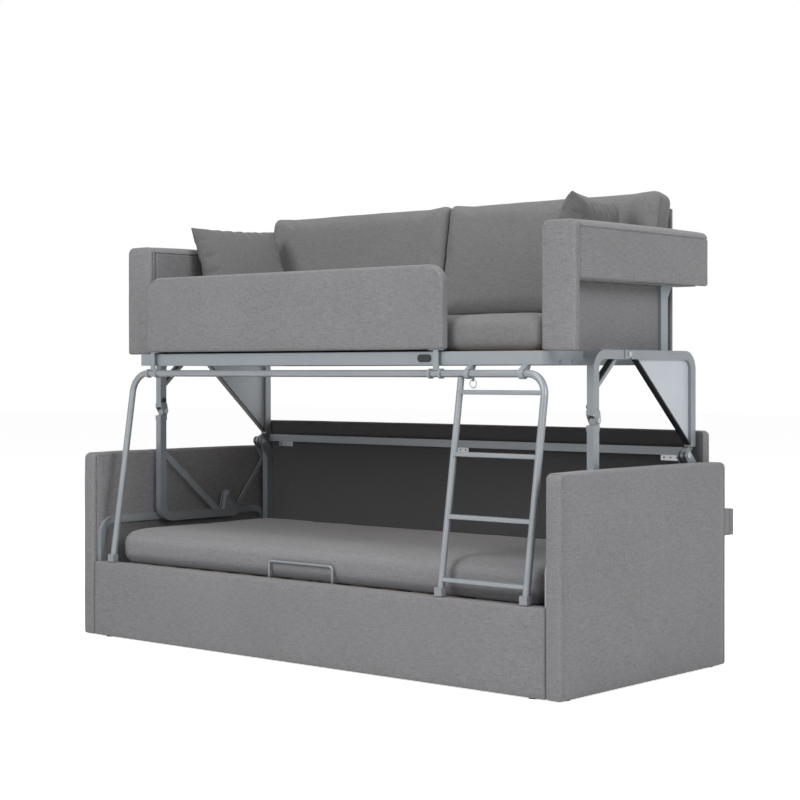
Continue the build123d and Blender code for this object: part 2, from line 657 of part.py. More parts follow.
with BuildPart() as rear_arm:
    route = ((knuckle_y + JOINT_HALF_GAP, TOP_BAR_Z), (ARM_POST_Y, TOP_BAR_Z), (ARM_POST_Y, ARM_POST_LOW))
    bent_tube(route, BEND, TUBE_TALL, TUBE_IN, TUBE_OUT, TUBE_WALL)
    tube_end = knuckle_y + JOINT_HALF_GAP
    lug(KNUCKLE_PIVOT, KNUCKLE_RADIUS, tube_end, tube_end + KNUCKLE_RADIUS,
        TOP_BAR_Z - half_tube, TOP_BAR_Z + half_tube, tongue_in, tongue_out)
    disc(KNUCKLE_PIVOT, PIN_RADIUS, tongue_in, tongue_out, mode=Mode.SUBTRACT)
    lug(REAR_PIVOT, EAR_RADIUS, ARM_POST_Y - half_tube, ARM_POST_Y + half_tube,
        ARM_POST_LOW, ARM_POST_LOW + TUBE_WALL, tongue_in, tongue_out)
    disc(REAR_PIVOT, PIN_RADIUS + PIN_GAP, tongue_in, tongue_out, mode=Mode.SUBTRACT)
keep_pair(rear_arm, "rear_arm")

gusset_top = TOP_BAR_Z - half_tube
gusset_rear = ARM_POST_Y - half_tube
with BuildPart() as gusset:
    gusset_in = (TUBE_IN + TUBE_OUT - GUSSET_THICK) / 2
    with BuildSketch(Plane.YZ.offset(gusset_in)) as gusset_face:
        with BuildLine():
            Polyline((GUSSET_FRONT, gusset_top), (gusset_rear, gusset_top),
                     (gusset_rear, GUSSET_LOW), close=True)
        make_face()
        corner = gusset_face.vertices().group_by(Axis.Y)[-1].sort_by(Axis.X)[-1]
        fillet(corner, BEND - half_tube)
    extrude(amount=GUSSET_THICK)
keep_pair(gusset, "gusset")

gusset_run, gusset_rise = gusset_rear - GUSSET_FRONT, gusset_top - GUSSET_LOW
gusset_long = hypot(gusset_run, gusset_rise)
with BuildPart() as gusset_edges:
    along = GUSSET_EDGE_THICK * gusset_long / gusset_rise
    down = GUSSET_EDGE_THICK * gusset_long / gusset_run
    plate(((GUSSET_FRONT, gusset_top), (gusset_rear, GUSSET_LOW), (gusset_rear, GUSSET_LOW - down),
           (GUSSET_FRONT - along, gusset_top)), TUBE_IN + GUSSET_EDGE_SIDE, TUBE_OUT - GUSSET_EDGE_SIDE)
    mirror(about=Plane.YZ)
keep(gusset_edges, "gusset_edges")

with BuildPart() as knuckle_pins:
    pin(KNUCKLE_PIVOT, PIN_RADIUS, cheek_in - RUN_GAP, cheek_out + RUN_GAP, HEAD_THICK)
    mirror(about=Plane.YZ)
keep(knuckle_pins, "knuckle_pins")

# Lower legs, which swing about the leg pivots

knee_top = knee_z - KNEE_HALF_GAP
with BuildPart() as lower_leg:
    route = ((LEG_Y, knee_top), (LEG_Y, LEG_BAR_Z), (LEG_BAR_REAR, LEG_BAR_Z))
    bent_tube(route, BEND, TUBE_TALL, TUBE_IN, TUBE_OUT, TUBE_WALL)
    collar_half = half_tube + COLLAR_PROUD
    block(TUBE_IN - COLLAR_PROUD, TUBE_OUT + COLLAR_PROUD, LEG_Y - collar_half, LEG_Y + collar_half,
          knee_top - COLLAR_TALL, knee_top)
    lug(KNEE_PIVOT, KNUCKLE_RADIUS, knee_y - KNUCKLE_RADIUS, knee_y + KNUCKLE_RADIUS / 2,
        knee_top - KNUCKLE_RADIUS, knee_top, knee_tongue_in, knee_tongue_out)
    disc(KNEE_PIVOT, KNEE_PIN_RADIUS, knee_tongue_in, knee_tongue_out, mode=Mode.SUBTRACT)
    bar_top = LEG_BAR_Z + half_tube
    lug(leg_pivot, EAR_RADIUS, leg_pivot_y - EAR_RADIUS - half_tube, LEG_BAR_REAR,
        bar_top - TUBE_WALL, bar_top, TUBE_IN + LUG_SIDE, TUBE_OUT - LUG_SIDE)
    disc(leg_pivot, LEG_PIN_RADIUS + PIN_GAP, TUBE_IN + LUG_SIDE, TUBE_OUT - LUG_SIDE, mode=Mode.SUBTRACT)
keep_pair(lower_leg, "lower_leg")

leg_rear_face = LEG_Y + half_tube
with BuildPart() as leg_braces:
    brace_in = (TUBE_IN + TUBE_OUT - LEG_BRACE_THICK) / 2
    fall, run = LEG_BRACE_TOP - bar_top, LEG_BRACE_REAR - leg_rear_face
    slant = hypot(fall, run)
    drop, back = LEG_BRACE_WIDE * slant / run, LEG_BRACE_WIDE * slant / fall
    plate(((leg_rear_face, LEG_BRACE_TOP), (LEG_BRACE_REAR, bar_top), (LEG_BRACE_REAR - back, bar_top),
           (leg_rear_face, LEG_BRACE_TOP - drop)), brace_in, brace_in + LEG_BRACE_THICK)
    mirror(about=Plane.YZ)
keep(leg_braces, "leg_braces")

with BuildPart() as knee_pins:
    pin(KNEE_PIVOT, KNEE_PIN_RADIUS, cheek_in - RUN_GAP, cheek_out + RUN_GAP, HEAD_THICK)
    mirror(about=Plane.YZ)
keep(knee_pins, "knee_pins")

# Deck of the upper sofa

rail_rear = DECK_FRONT + RAIL_THICK
board_top = RAIL_TOP
board_low = RAIL_TOP - BOARD_THICK
with BuildPart() as deck_frame:
    block(-DECK_HALF, DECK_HALF, DECK_FRONT, DECK_REAR, RAIL_BOTTOM, RAIL_TOP)
    inner_half = DECK_HALF - RAIL_THICK
    channel_half = DECK_HALF - CHANNEL_WALL
    block(-inner_half, inner_half, rail_rear, DECK_REAR - RAIL_THICK, RAIL_BOTTOM, RAIL_TOP,
          mode=Mode.SUBTRACT)
    block(-channel_half, channel_half, DECK_FRONT + CHANNEL_WALL, DECK_REAR - CHANNEL_WALL,
          RAIL_BOTTOM + CHANNEL_WALL, RAIL_TOP - CHANNEL_WALL, mode=Mode.SUBTRACT)
    block(-inner_half, inner_half, rail_rear, rail_rear + LIP_DEPTH, RAIL_BOTTOM,
          RAIL_BOTTOM + CHANNEL_WALL)
    cross_top = board_low
    cross_spacing = 2 * DECK_HALF / (CROSS_COUNT + 1)
    for count in range(CROSS_COUNT):
        x = (count + 1) * cross_spacing - DECK_HALF
        block(x - CROSS_WIDE / 2, x + CROSS_WIDE / 2, DECK_FRONT + CHANNEL_WALL,
              DECK_REAR - CHANNEL_WALL, cross_top - CROSS_TALL, cross_top)
        block(x - CROSS_WIDE / 2 + TUBE_WALL, x + CROSS_WIDE / 2 - TUBE_WALL, DECK_FRONT + CHANNEL_WALL,
              DECK_REAR - CHANNEL_WALL, cross_top - CROSS_TALL, cross_top - TUBE_WALL, mode=Mode.SUBTRACT)
    bar_high = TOP_BAR_Z + SPACER_BAR_TALL / 2
    for side in (1, -1):
        low, high = sorted((side * DECK_HALF, side * TUBE_IN))
        for y in SPACER_BAR_PLACES:
            block(low, high, y - SPACER_BAR_DEPTH / 2, y + SPACER_BAR_DEPTH / 2,
                  bar_high - SPACER_BAR_TALL, bar_high)
keep(deck_frame, "deck_frame")

with BuildPart() as deck_board:
    block(-inner_half, inner_half, rail_rear, DECK_REAR - RAIL_THICK, board_low, board_top)
keep(deck_board, "deck_board")

with BuildPart() as rail_plug:
    with BuildSketch(Plane.XZ.offset(-DECK_FRONT)):
        with Locations((PLUG_X, (RAIL_BOTTOM + RAIL_TOP) / 2)):
            SlotOverall(PLUG_LONG, PLUG_TALL)
    extrude(amount=PLUG_PROUD)
keep(rail_plug, "rail_plug")

with BuildPart() as deck_bolts:
    for place in BOLT_PLACES:
        disc(place, BOLT_RADIUS, DECK_HALF, DECK_HALF + BOLT_HEAD)
    mirror(about=Plane.YZ)
keep(deck_bolts, "deck_bolts")

with BuildPart() as ladder_clips:
    bar_place = (LADDER_TOP_Y, LADDER_TOP_Z)
    for x, wide in CLIP_PLACES:
        low, high = x - wide / 2, x + wide / 2
        lug(bar_place, LADDER_RADIUS + RUN_GAP + CLIP_WALL, DECK_FRONT, rail_rear - CHANNEL_WALL,
            RAIL_BOTTOM - CHANNEL_WALL, RAIL_BOTTOM, low, high)
        disc(bar_place, LADDER_RADIUS + RUN_GAP, low, high, mode=Mode.SUBTRACT)
keep(ladder_clips, "ladder_clips")

with BuildPart() as upper_frame:
    knee_low = knee_z + KNEE_HALF_GAP
    bar_end = knuckle_y - JOINT_HALF_GAP
    route = ((LEG_Y, knee_low), (LEG_Y, TOP_BAR_Z), (bar_end, TOP_BAR_Z))
    bent_tube(route, BEND, TUBE_TALL, TUBE_IN, TUBE_OUT, TUBE_WALL)
    for low, high in ((cheek_in, TUBE_IN), (TUBE_OUT, cheek_out)):
        lug(KNEE_PIVOT, KNUCKLE_RADIUS, LEG_Y - half_tube, leg_rear_face,
            knee_low, knee_low + KNEE_HALF_GAP, low, high)
        disc(KNEE_PIVOT, KNEE_PIN_RADIUS + PIN_GAP, low, high, mode=Mode.SUBTRACT)
        lug(KNUCKLE_PIVOT, KNUCKLE_RADIUS, bar_end - JOINT_HALF_GAP, bar_end,
            TOP_BAR_Z - half_tube, TOP_BAR_Z + half_tube, low, high)
        disc(KNUCKLE_PIVOT, PIN_RADIUS + PIN_GAP, low, high, mode=Mode.SUBTRACT)
    latch_place = (LEG_Y, knee_z + LATCH_RISE)
    disc(latch_place, LATCH_STEM + LATCH_GAP, cheek_in - CUT_OVER, TUBE_IN + TUBE_WALL + CUT_OVER,
         mode=Mode.SUBTRACT)
keep_pair(upper_frame, "upper_frame")

with BuildPart() as frame_braces:
    rise, run = gusset_top - FRAME_BRACE_LOW, FRAME_BRACE_REAR - leg_rear_face
    slant = hypot(rise, run)
    web_up, web_back = FRAME_BRACE_WIDE * slant / run, FRAME_BRACE_WIDE * slant / rise
    edge_up, edge_back = FRAME_BRACE_FLANGE * slant / run, FRAME_BRACE_FLANGE * slant / rise
    web_in = (TUBE_IN + TUBE_OUT - GUSSET_THICK) / 2
    plate(((leg_rear_face, FRAME_BRACE_LOW), (FRAME_BRACE_REAR, gusset_top),
           (FRAME_BRACE_REAR - web_back, gusset_top), (leg_rear_face, FRAME_BRACE_LOW + web_up)),
          web_in, web_in + GUSSET_THICK)
    plate(((leg_rear_face, FRAME_BRACE_LOW + web_up), (FRAME_BRACE_REAR - web_back, gusset_top),
           (FRAME_BRACE_REAR - web_back - edge_back, gusset_top),
           (leg_rear_face, FRAME_BRACE_LOW + web_up + edge_up)),
          TUBE_IN + FRAME_BRACE_SIDE, TUBE_OUT - FRAME_BRACE_SIDE)
    mirror(about=Plane.YZ)
keep(frame_braces, "frame_braces")

with BuildPart() as backrest_board:
    block(-ARM_IN + RAIL_THICK / 2, ARM_IN - RAIL_THICK / 2, DECK_REAR, DECK_REAR + BACKBOARD_THICK,
          RAIL_BOTTOM, BACKBOARD_TOP)
    fillet(backrest_board.edges().group_by(Axis.Z)[-1], BACKBOARD_ROUND)
keep(backrest_board, "backrest_board")

# Arms of the upper sofa

with BuildPart() as arm_front:
    block(ARM_IN, ARM_OUT, ARM_FRONT, ARM_FRONT + ARM_BOARD, RAIL_TOP, ARM_TOP)
    fillet(arm_front.edges().filter_by(Axis.Y).group_by(Axis.Z)[-1], ARM_ROUND)
    fillet(arm_front.edges().group_by(Axis.Y)[0], ARM_EDGE)
keep_pair(arm_front, "arm_front")

with BuildPart() as arm_inner:
    block(ARM_IN, DECK_HALF, ARM_FRONT + ARM_BOARD, ARM_INNER_REAR, RAIL_TOP, ARM_LOW)
keep_pair(arm_inner, "arm_inner")

with BuildPart() as armrest:
    block(ARM_IN, ARM_OUT, ARM_FRONT + ARM_BOARD, ARM_REAR, ARM_LOW, ARM_TOP)
    fillet(armrest.edges().filter_by(Axis.Y).group_by(Axis.Z)[-1], ARM_ROUND)
    fillet(armrest.faces().sort_by(Axis.Y)[-1].edges(), ARM_EDGE)
    block(POCKET_IN, POCKET_OUT, POCKET_FRONT, ARM_REAR - POCKET_REAR_WALL, ARM_LOW, POCKET_TOP,
          mode=Mode.SUBTRACT)
    block(POCKET_IN, POCKET_OUT, ARM_REAR - POCKET_REAR_WALL, ARM_REAR, ARM_LOW, NOTCH_TOP,
          mode=Mode.SUBTRACT)
keep_pair(armrest, "armrest")

with BuildPart() as armrest_posts:
    flare_low = ARM_LOW - ARM_POST_DEPTH
    post_rear = ARM_POST_FRONT + ARM_POST_DEPTH
    plate(((ARM_POST_FRONT, RAIL_BOTTOM), (post_rear, RAIL_BOTTOM), (post_rear, flare_low),
           (post_rear + ARM_POST_FLARE, ARM_LOW), (ARM_POST_FRONT, ARM_LOW)),
          DECK_HALF, DECK_HALF + ARM_POST_THICK)
    mirror(about=Plane.YZ)
keep(armrest_posts, "armrest_posts")

# Upper cushions

with BuildPart() as seat_cushion:
    middle = (0, (SEAT_FRONT + SEAT_REAR) / 2, RAIL_TOP + RUN_GAP)
    soft_slab(Plane(origin=middle), SEAT_HALF, (SEAT_REAR - SEAT_FRONT) / 2, SEAT_THICK,
              SEAT_CORNER, SEAT_EDGE, SEAT_DRAW)
keep(seat_cushion, "seat_cushion")

lean = radians(BACK_LEAN)
with BuildPart() as back_cushion:
    half_wide = (SEAT_HALF - BACK_CUSHION_SEAM) / 2
    half_tall = BACK_CUSHION_TALL / 2
    foot_z = seat_top + RUN_GAP - BACK_CUSHION_SETTLE
    top_y = BACK_CUSHION_REAR - RUN_GAP
    middle = (BACK_CUSHION_SEAM / 2 + half_wide, top_y - half_tall * sin(lean),
              foot_z + half_tall * cos(lean))
    cushion_plane = Plane(origin=middle, x_dir=(1, 0, 0), z_dir=(0, -cos(lean), sin(lean)))
    soft_slab(cushion_plane, half_wide, half_tall, BACK_CUSHION_THICK, BACK_CUSHION_CORNER,
              BACK_CUSHION_EDGE, BACK_CUSHION_DRAW)
keep_pair(back_cushion, "back_cushion")

tip, turn = radians(PILLOW_LEAN), radians(PILLOW_TURN)
with BuildPart() as pillow:
    side_way = (-sin(turn), cos(turn), 0)
    face_way = (-cos(turn) * cos(tip), -sin(turn) * cos(tip), sin(tip))
    pillow_mid = (ARM_IN - PILLOW_FROM_ARM, PILLOW_Y, seat_top + PILLOW_RISE)
    pillow_plane = Plane(origin=pillow_mid, x_dir=side_way, z_dir=face_way)
    for height_share, size_share in PILLOW_SHARES:
        with BuildSketch(pillow_plane.offset(height_share * PILLOW_THICK / 2)):
            half = size_share * PILLOW_SIZE / 2
            soft_outline(half, half, PILLOW_CORNER * size_share, PILLOW_DRAW * size_share)
    loft()
keep_pair(pillow, "pillow")

# Ladder, which swings about its own top bar

leg_fall = LADDER_TOP_Z - (PANEL_HEIGHT + LADDER_FOOT_GAP)
leg_out = LADDER_TOP_Y - LADDER_FOOT_Y
slope = atan2(leg_out, leg_fall)
ladder_plane = Plane(origin=(0, LADDER_TOP_Y, LADDER_TOP_Z), x_dir=(1, 0, 0),
                     z_dir=(0, -cos(slope), sin(slope)))
foot_long = (leg_fall - SHOE_TALL / 2) / cos(slope)
with BuildPart() as ladder_frame:
    with BuildLine(ladder_plane) as ladder_path:
        FilletPolyline((-LADDER_HALF, -foot_long), (-LADDER_HALF, 0), (LADDER_HALF, 0),
                       (LADDER_HALF, -foot_long), radius=LADDER_BEND)
    with BuildSketch(Plane(origin=ladder_path.line @ 0, z_dir=ladder_path.line % 0)):
        Circle(LADDER_RADIUS)
        Circle(LADDER_RADIUS - LADDER_WALL, mode=Mode.SUBTRACT)
    sweep(path=ladder_path.line)
    tab_place = (LADDER_TOP_Y, LADDER_TOP_Z - RING_PIVOT_DROP)
    lug(tab_place, TAB_RADIUS, LADDER_TOP_Y - TAB_RADIUS, LADDER_TOP_Y + TAB_RADIUS,
        LADDER_TOP_Z - LADDER_RADIUS, LADDER_TOP_Z - LADDER_RADIUS + LADDER_WALL / 2,
        TAB_X - TAB_THICK / 2, TAB_X + TAB_THICK / 2)
    disc(tab_place, TAB_HOLE, TAB_X - TAB_THICK / 2, TAB_X + TAB_THICK / 2, mode=Mode.SUBTRACT)
keep(ladder_frame, "ladder_frame")

stile_top = LADDER_RADIUS
with BuildPart() as ladder_stile:
    with BuildSketch(Plane(origin=ladder_plane.from_local_coords((STILE_X, -foot_long, 0)),
                           z_dir=ladder_plane.y_dir)):
        Circle(STILE_RADIUS)
        Circle(STILE_RADIUS - LADDER_WALL, mode=Mode.SUBTRACT)
    extrude(amount=foot_long - stile_top)
keep(ladder_stile, "ladder_stile")

with BuildPart() as ladder_rungs:
    for count in range(RUNG_COUNT):
        along = (RUNG_DROP + count * RUNG_PITCH) / cos(slope)
        rung_place = ladder_plane.from_local_coords((STILE_X, -along, 0))
        with BuildSketch(Plane(origin=rung_place, x_dir=(0, 1, 0), z_dir=(1, 0, 0))):
            RectangleRounded(RUNG_DEPTH, RUNG_TALL, RUNG_TALL / 3)
        extrude(amount=LADDER_HALF - STILE_X)
    with BuildSketch(Plane(origin=ladder_path.line @ 0, z_dir=ladder_path.line % 0)):
        Circle(LADDER_RADIUS)
    sweep(path=ladder_path.line, mode=Mode.SUBTRACT)
    with BuildSketch(Plane(origin=ladder_plane.from_local_coords((STILE_X, -foot_long, 0)),
                           z_dir=ladder_plane.y_dir)):
        Circle(STILE_RADIUS)
    extrude(amount=foot_long - stile_top, mode=Mode.SUBTRACT)
keep(ladder_rungs, "ladder_rungs")

with BuildPart() as ladder_shoes:
    for x in (-LADDER_HALF, STILE_X, LADDER_HALF):
        shoe_low = PANEL_HEIGHT + LADDER_FOOT_GAP
        block(x - SHOE_WIDE / 2, x + SHOE_WIDE / 2, LADDER_FOOT_Y - SHOE_DEPTH / 2,
              LADDER_FOOT_Y + SHOE_DEPTH / 2, shoe_low, shoe_low + SHOE_TALL)
    for x, radius in ((-LADDER_HALF, LADDER_RADIUS), (STILE_X, STILE_RADIUS), (LADDER_HALF, LADDER_RADIUS)):
        with BuildSketch(Plane(origin=ladder_plane.from_local_coords((x, -foot_long, 0)),
                               z_dir=ladder_plane.y_dir)):
            Circle(radius)
        extrude(amount=SHOE_TALL * 2, mode=Mode.SUBTRACT)
keep(ladder_shoes, "ladder_shoes")

with BuildPart() as pull_ring:
    ring_mid = (TAB_X, tab_place[0], tab_place[1] - RING_RADIUS)
    with BuildSketch(Plane(origin=(TAB_X + RING_RADIUS, ring_mid[1], ring_mid[2]), x_dir=(1, 0, 0),
                           z_dir=(0, 0, 1))):
        Circle(RING_WIRE)
    revolve(axis=Axis(ring_mid, (0, 1, 0)))
keep(pull_ring, "pull_ring")

# Guard board, which folds down about the ladder's top bar

with BuildPart() as guard_panel:
    with BuildSketch(Plane.XZ.offset(-GUARD_FRONT)) as guard_face:
        with Locations(((GUARD_LEFT + GUARD_RIGHT) / 2, (GUARD_LOW + GUARD_TOP) / 2)):
            Rectangle(GUARD_RIGHT - GUARD_LEFT, GUARD_TOP - GUARD_LOW)
        fillet(guard_face.vertices().group_by(Axis.Y)[-1], GUARD_CORNER)
    extrude(amount=-GUARD_THICK)
    fillet(guard_panel.faces().sort_by(Axis.Y)[0].edges(), GUARD_ROUND)
    fillet(guard_panel.faces().sort_by(Axis.Y)[-1].edges(), GUARD_ROUND)
keep(guard_panel, "guard_panel")

strap_low = LADDER_TOP_Z + LADDER_RADIUS + RUN_GAP
strap_high = strap_low + CLAMP_WALL
with BuildPart() as guard_posts:
    half_post = GUARD_POST_THICK / 2
    for x in GUARD_POST_PLACES:
        block(x - GUARD_POST_WIDE / 2, x + GUARD_POST_WIDE / 2, LADDER_TOP_Y - half_post,
              LADDER_TOP_Y + half_post, strap_high, GUARD_LOW)
        foot_x = max(x - GUARD_FOOT_WIDE / 2, GUARD_LEFT + GUARD_ROUND)
        block(foot_x, x + GUARD_FOOT_WIDE / 2, LADDER_TOP_Y - half_post,
              LADDER_TOP_Y + GUARD_POST_THICK, GUARD_LOW - GUARD_FOOT_THICK, GUARD_LOW)
keep(guard_posts, "guard_posts")

with BuildPart() as guard_clamps:
    clamp_half = CLAMP_SPREAD + CLAMP_WIDE / 2
    for post_x in GUARD_POST_PLACES:
        block(post_x - clamp_half, post_x + clamp_half, LADDER_TOP_Y - GUARD_POST_THICK,
              LADDER_TOP_Y + GUARD_POST_THICK, strap_low, strap_high)
        for x in (post_x - CLAMP_SPREAD, post_x + CLAMP_SPREAD):
            disc(bar_place, LADDER_RADIUS + RUN_GAP + CLAMP_WALL, x - CLAMP_WIDE / 2, x + CLAMP_WIDE / 2)
        disc(bar_place, LADDER_RADIUS + RUN_GAP, post_x - clamp_half, post_x + clamp_half,
             mode=Mode.SUBTRACT)
keep(guard_clamps, "guard_clamps")

# Latches that hold the knees straight

with BuildPart() as knee_latch:
    knob_out = TUBE_IN - LATCH_GAP
    disc(latch_place, LATCH_RADIUS, knob_out - LATCH_LONG, knob_out)
    disc(latch_place, LATCH_STEM, knob_out, knob_out + LATCH_REACH)
keep_pair(knee_latch, "knee_latch")
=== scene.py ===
"""The looks of a sofa to bunk bed, built around its packed steel and board frame.

Lengths are in metres. +X is right as seen from the front, -Y is the front and +Z is up.
"""

from __future__ import annotations

import json
import logging
from contextlib import contextmanager
from dataclasses import dataclass
from enum import Enum
from math import cos, pi, radians, sin
from typing import Callable, Iterator

import bmesh
import bpy
from bpy.types import Material, Node, NodeSocket, NodeTree, Object
from mathutils import Matrix, Vector, noise

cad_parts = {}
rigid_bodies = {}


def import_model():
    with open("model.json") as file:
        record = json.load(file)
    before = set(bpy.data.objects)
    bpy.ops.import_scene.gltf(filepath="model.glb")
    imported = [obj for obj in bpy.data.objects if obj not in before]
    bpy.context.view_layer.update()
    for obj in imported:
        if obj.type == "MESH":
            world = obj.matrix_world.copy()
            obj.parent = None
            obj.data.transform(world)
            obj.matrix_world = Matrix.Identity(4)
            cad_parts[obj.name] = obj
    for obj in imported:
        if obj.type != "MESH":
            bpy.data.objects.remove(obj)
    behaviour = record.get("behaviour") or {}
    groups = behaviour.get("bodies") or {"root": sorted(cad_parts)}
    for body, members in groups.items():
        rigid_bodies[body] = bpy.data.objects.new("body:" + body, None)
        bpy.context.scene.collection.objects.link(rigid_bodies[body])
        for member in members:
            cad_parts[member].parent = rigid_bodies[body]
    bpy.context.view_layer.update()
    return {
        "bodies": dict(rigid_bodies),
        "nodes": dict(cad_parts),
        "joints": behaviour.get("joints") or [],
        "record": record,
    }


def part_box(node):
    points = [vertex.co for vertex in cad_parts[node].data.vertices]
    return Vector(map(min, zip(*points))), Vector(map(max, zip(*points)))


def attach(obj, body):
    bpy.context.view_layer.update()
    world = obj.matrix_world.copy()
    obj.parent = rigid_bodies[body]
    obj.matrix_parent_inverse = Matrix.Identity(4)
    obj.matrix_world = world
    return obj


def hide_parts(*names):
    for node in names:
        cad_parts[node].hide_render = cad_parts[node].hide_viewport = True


log = logging.getLogger("bunk_sofa")

# Points nearer than this lie at one place.
TOUCH = 0.0002

# Edges sharper than these stay crisp: on steel, on wrapped boards, on cushions and on pillows.
STEEL_CREASE = radians(40)
BOARD_CREASE = radians(50)
CUSHION_CREASE = radians(60)
PILLOW_CREASE = radians(75)

# How full each padded piece is stuffed.
BOARD_FILL = 0.9
BED_FILL = 0.8
BACK_FILL = 0.85
PILLOW_FILL = 0.6

# Most of what a noise texture gives lies between these.
NOISE_LOW, NOISE_HIGH = 0.3, 0.7


class Axis(Enum):
    """The three ways of the bed's own frame."""

    X = 0
    Y = 1
    Z = 2


class Side(Enum):
    """Which end of the bed a piece is at."""

    LEFT = -1
    RIGHT = 1

    @property
    def word(self) -> str:
        """The word that starts the node names of this side."""
        return self.name.lower()


# Mesh tools


def only(piece: Object) -> None:
    """Select one object and make it active."""
    bpy.ops.object.select_all(action="DESELECT")
    piece.select_set(True)
    bpy.context.view_layer.objects.active = piece


@contextmanager
def editing(piece: Object) -> Iterator[bmesh.types.BMesh]:
    """Open a piece in edit mode with nothing selected.

    Args:
        piece: The mesh object to shape.

    Yields:
        The open mesh, so that faces and edges can be selected by their place.
    """
    only(piece)
    bpy.ops.object.mode_set(mode="EDIT")
    bpy.ops.mesh.select_all(action="DESELECT")
    yield bmesh.from_edit_mesh(piece.data)
    bpy.ops.object.mode_set(mode="OBJECT")


def block(name: str, low: Vector, high: Vector) -> Object:
    """Start a piece as a box between two corners, with its place in its mesh.

    Args:
        name: The new object's name.
        low: The lowest corner.
        high: The highest corner.

    Returns:
        The new object.
    """
    bpy.ops.object.select_all(action="DESELECT")
    bpy.ops.mesh.primitive_cube_add(size=1, location=(low + high) / 2, scale=high - low)
    piece = bpy.context.object
    piece.name = piece.data.name = name
    bpy.ops.object.transform_apply(location=True, rotation=True, scale=True)
    return piece


def finish_with(piece: Object, kind: str, **settings: object) -> None:
    """Add one modifier to a piece with its settings, and apply it.

    Args:
        piece: The object that the modifier works on.
        kind: The modifier's type.
        **settings: The modifier's own settings.
    """
    only(piece)
    modifier = piece.modifiers.new(kind.lower(), kind)
    for setting, value in settings.items():
        setattr(modifier, setting, value)
    bpy.ops.object.modifier_apply(modifier=modifier.name)


def cut_across(piece: Object, axis: Axis, places: list[float]) -> None:
    """Cut new edge loops round a piece where planes cross it.

    Args:
        piece: The object to cut.
        axis: The way that the planes face.
        places: Where each plane lies along that axis.
    """
    normal = Vector((0, 0, 0))
    normal[axis.value] = 1
    with editing(piece):
        for place in places:
            bpy.ops.mesh.select_all(action="SELECT")
            bpy.ops.mesh.bisect(plane_co=normal * place, plane_no=normal)


def cut_grid(piece: Object, low: Vector, high: Vector, cell: float) -> None:
    """Cut a piece into a grid of faces no longer than a cell, so that it can swell.

    Args:
        piece: The object to cut.
        low: The lowest corner of its box.
        high: The highest corner of its box.
        cell: The longest side of a face.
    """
    for axis in Axis:
        start, end = low[axis.value], high[axis.value]
        count = int((end - start) / cell)
        places = [start + (end - start) * step / (count + 1) for step in range(1, count + 1)]
        cut_across(piece, axis, places)


def cut_box(piece: Object, low: Vector, high: Vector) -> None:
    """Cut a box out of a piece.

    Args:
        piece: The object to cut.
        low: The box's lowest corner.
        high: The box's highest corner.
    """
    cutter = block("cutter", low, high)
    finish_with(piece, "BOOLEAN", operation="DIFFERENCE", object=cutter, solver="EXACT")
    bpy.data.objects.remove(cutter, do_unlink=True)


def move_points(piece: Object, rule: Callable[[Vector, Vector], Vector]) -> None:
    """Move each point of a mesh by a rule.

    Args:
        piece: The object whose mesh changes.
        rule: Takes a point's place and normal, and gives its new place.
    """
    mesh = bmesh.new()
    mesh.from_mesh(piece.data)
    mesh.normal_update()
    moved = [rule(point.co.copy(), point.normal.copy()) for point in mesh.verts]
    for point, place in zip(mesh.verts, moved):
        point.co = place
    mesh.to_mesh(piece.data)
    mesh.free()


def ripple(place: Vector, length: float) -> float:
    """Smooth noise from -1 to 1 at a place, whose swells are about a length apart."""
    return noise.noise(place / length)


def smooth_step(value: float) -> float:
    """A number held between 0 and 1, with a soft start and end."""
    held = min(1.0, max(0.0, value))
    return held * held * (3 - 2 * held)


def turned(piece: Object, matrix: Matrix) -> None:
    """Move a mesh by a matrix, and keep its faces outwards.

    Args:
        piece: The object whose mesh moves.
        matrix: The move, which may mirror.
    """
    piece.data.transform(matrix)
    if matrix.determinant() < 0:
        piece.data.flip_normals()
    piece.data.update()


def mesh_box(piece: Object) -> tuple[Vector, Vector]:
    """Measure a mesh.

    Args:
        piece: The object to measure.

    Returns:
        Its lowest and highest corner.
    """
    places = [point.co for point in piece.data.vertices]
    low = Vector(min(place[way] for place in places) for way in range(3))
    high = Vector(max(place[way] for place in places) for way in range(3))
    return low, high


def mirrored(piece: Object, name: str) -> Object:
    """Copy a piece to the other end of the bed, as its mirror image.

    Args:
        piece: The object to copy.
        name: The copy's name.

    Returns:
        The copy, with its own mesh.
    """
    copy = bpy.data.objects.new(name, piece.data.copy())
    copy.data.name = name
    bpy.context.scene.collection.objects.link(copy)
    turned(copy, Matrix.Diagonal((-1, 1, 1, 1)))
    return copy


def shade(piece: Object, angle: float = STEEL_CREASE) -> None:
    """Shade a piece smooth, apart from edges sharper than an angle."""
    only(piece)
    bpy.ops.object.shade_smooth_by_angle(angle=angle)


# Materials


def linear(code: str) -> tuple[float, float, float, float]:
    """Turn a colour linear by the sRGB standard's own curve.

    Args:
        code: The colour as #RRGGBB.

    Returns:
        Its linear red, green, blue and alpha.
    """
    shares = [int(code[start:start + 2], 16) / 255 for start in (1, 3, 5)]
    red, green, blue = (s / 12.92 if s <= 0.04045 else ((s + 0.055) / 1.055) ** 2.4 for s in shares)
    return red, green, blue, 1.0


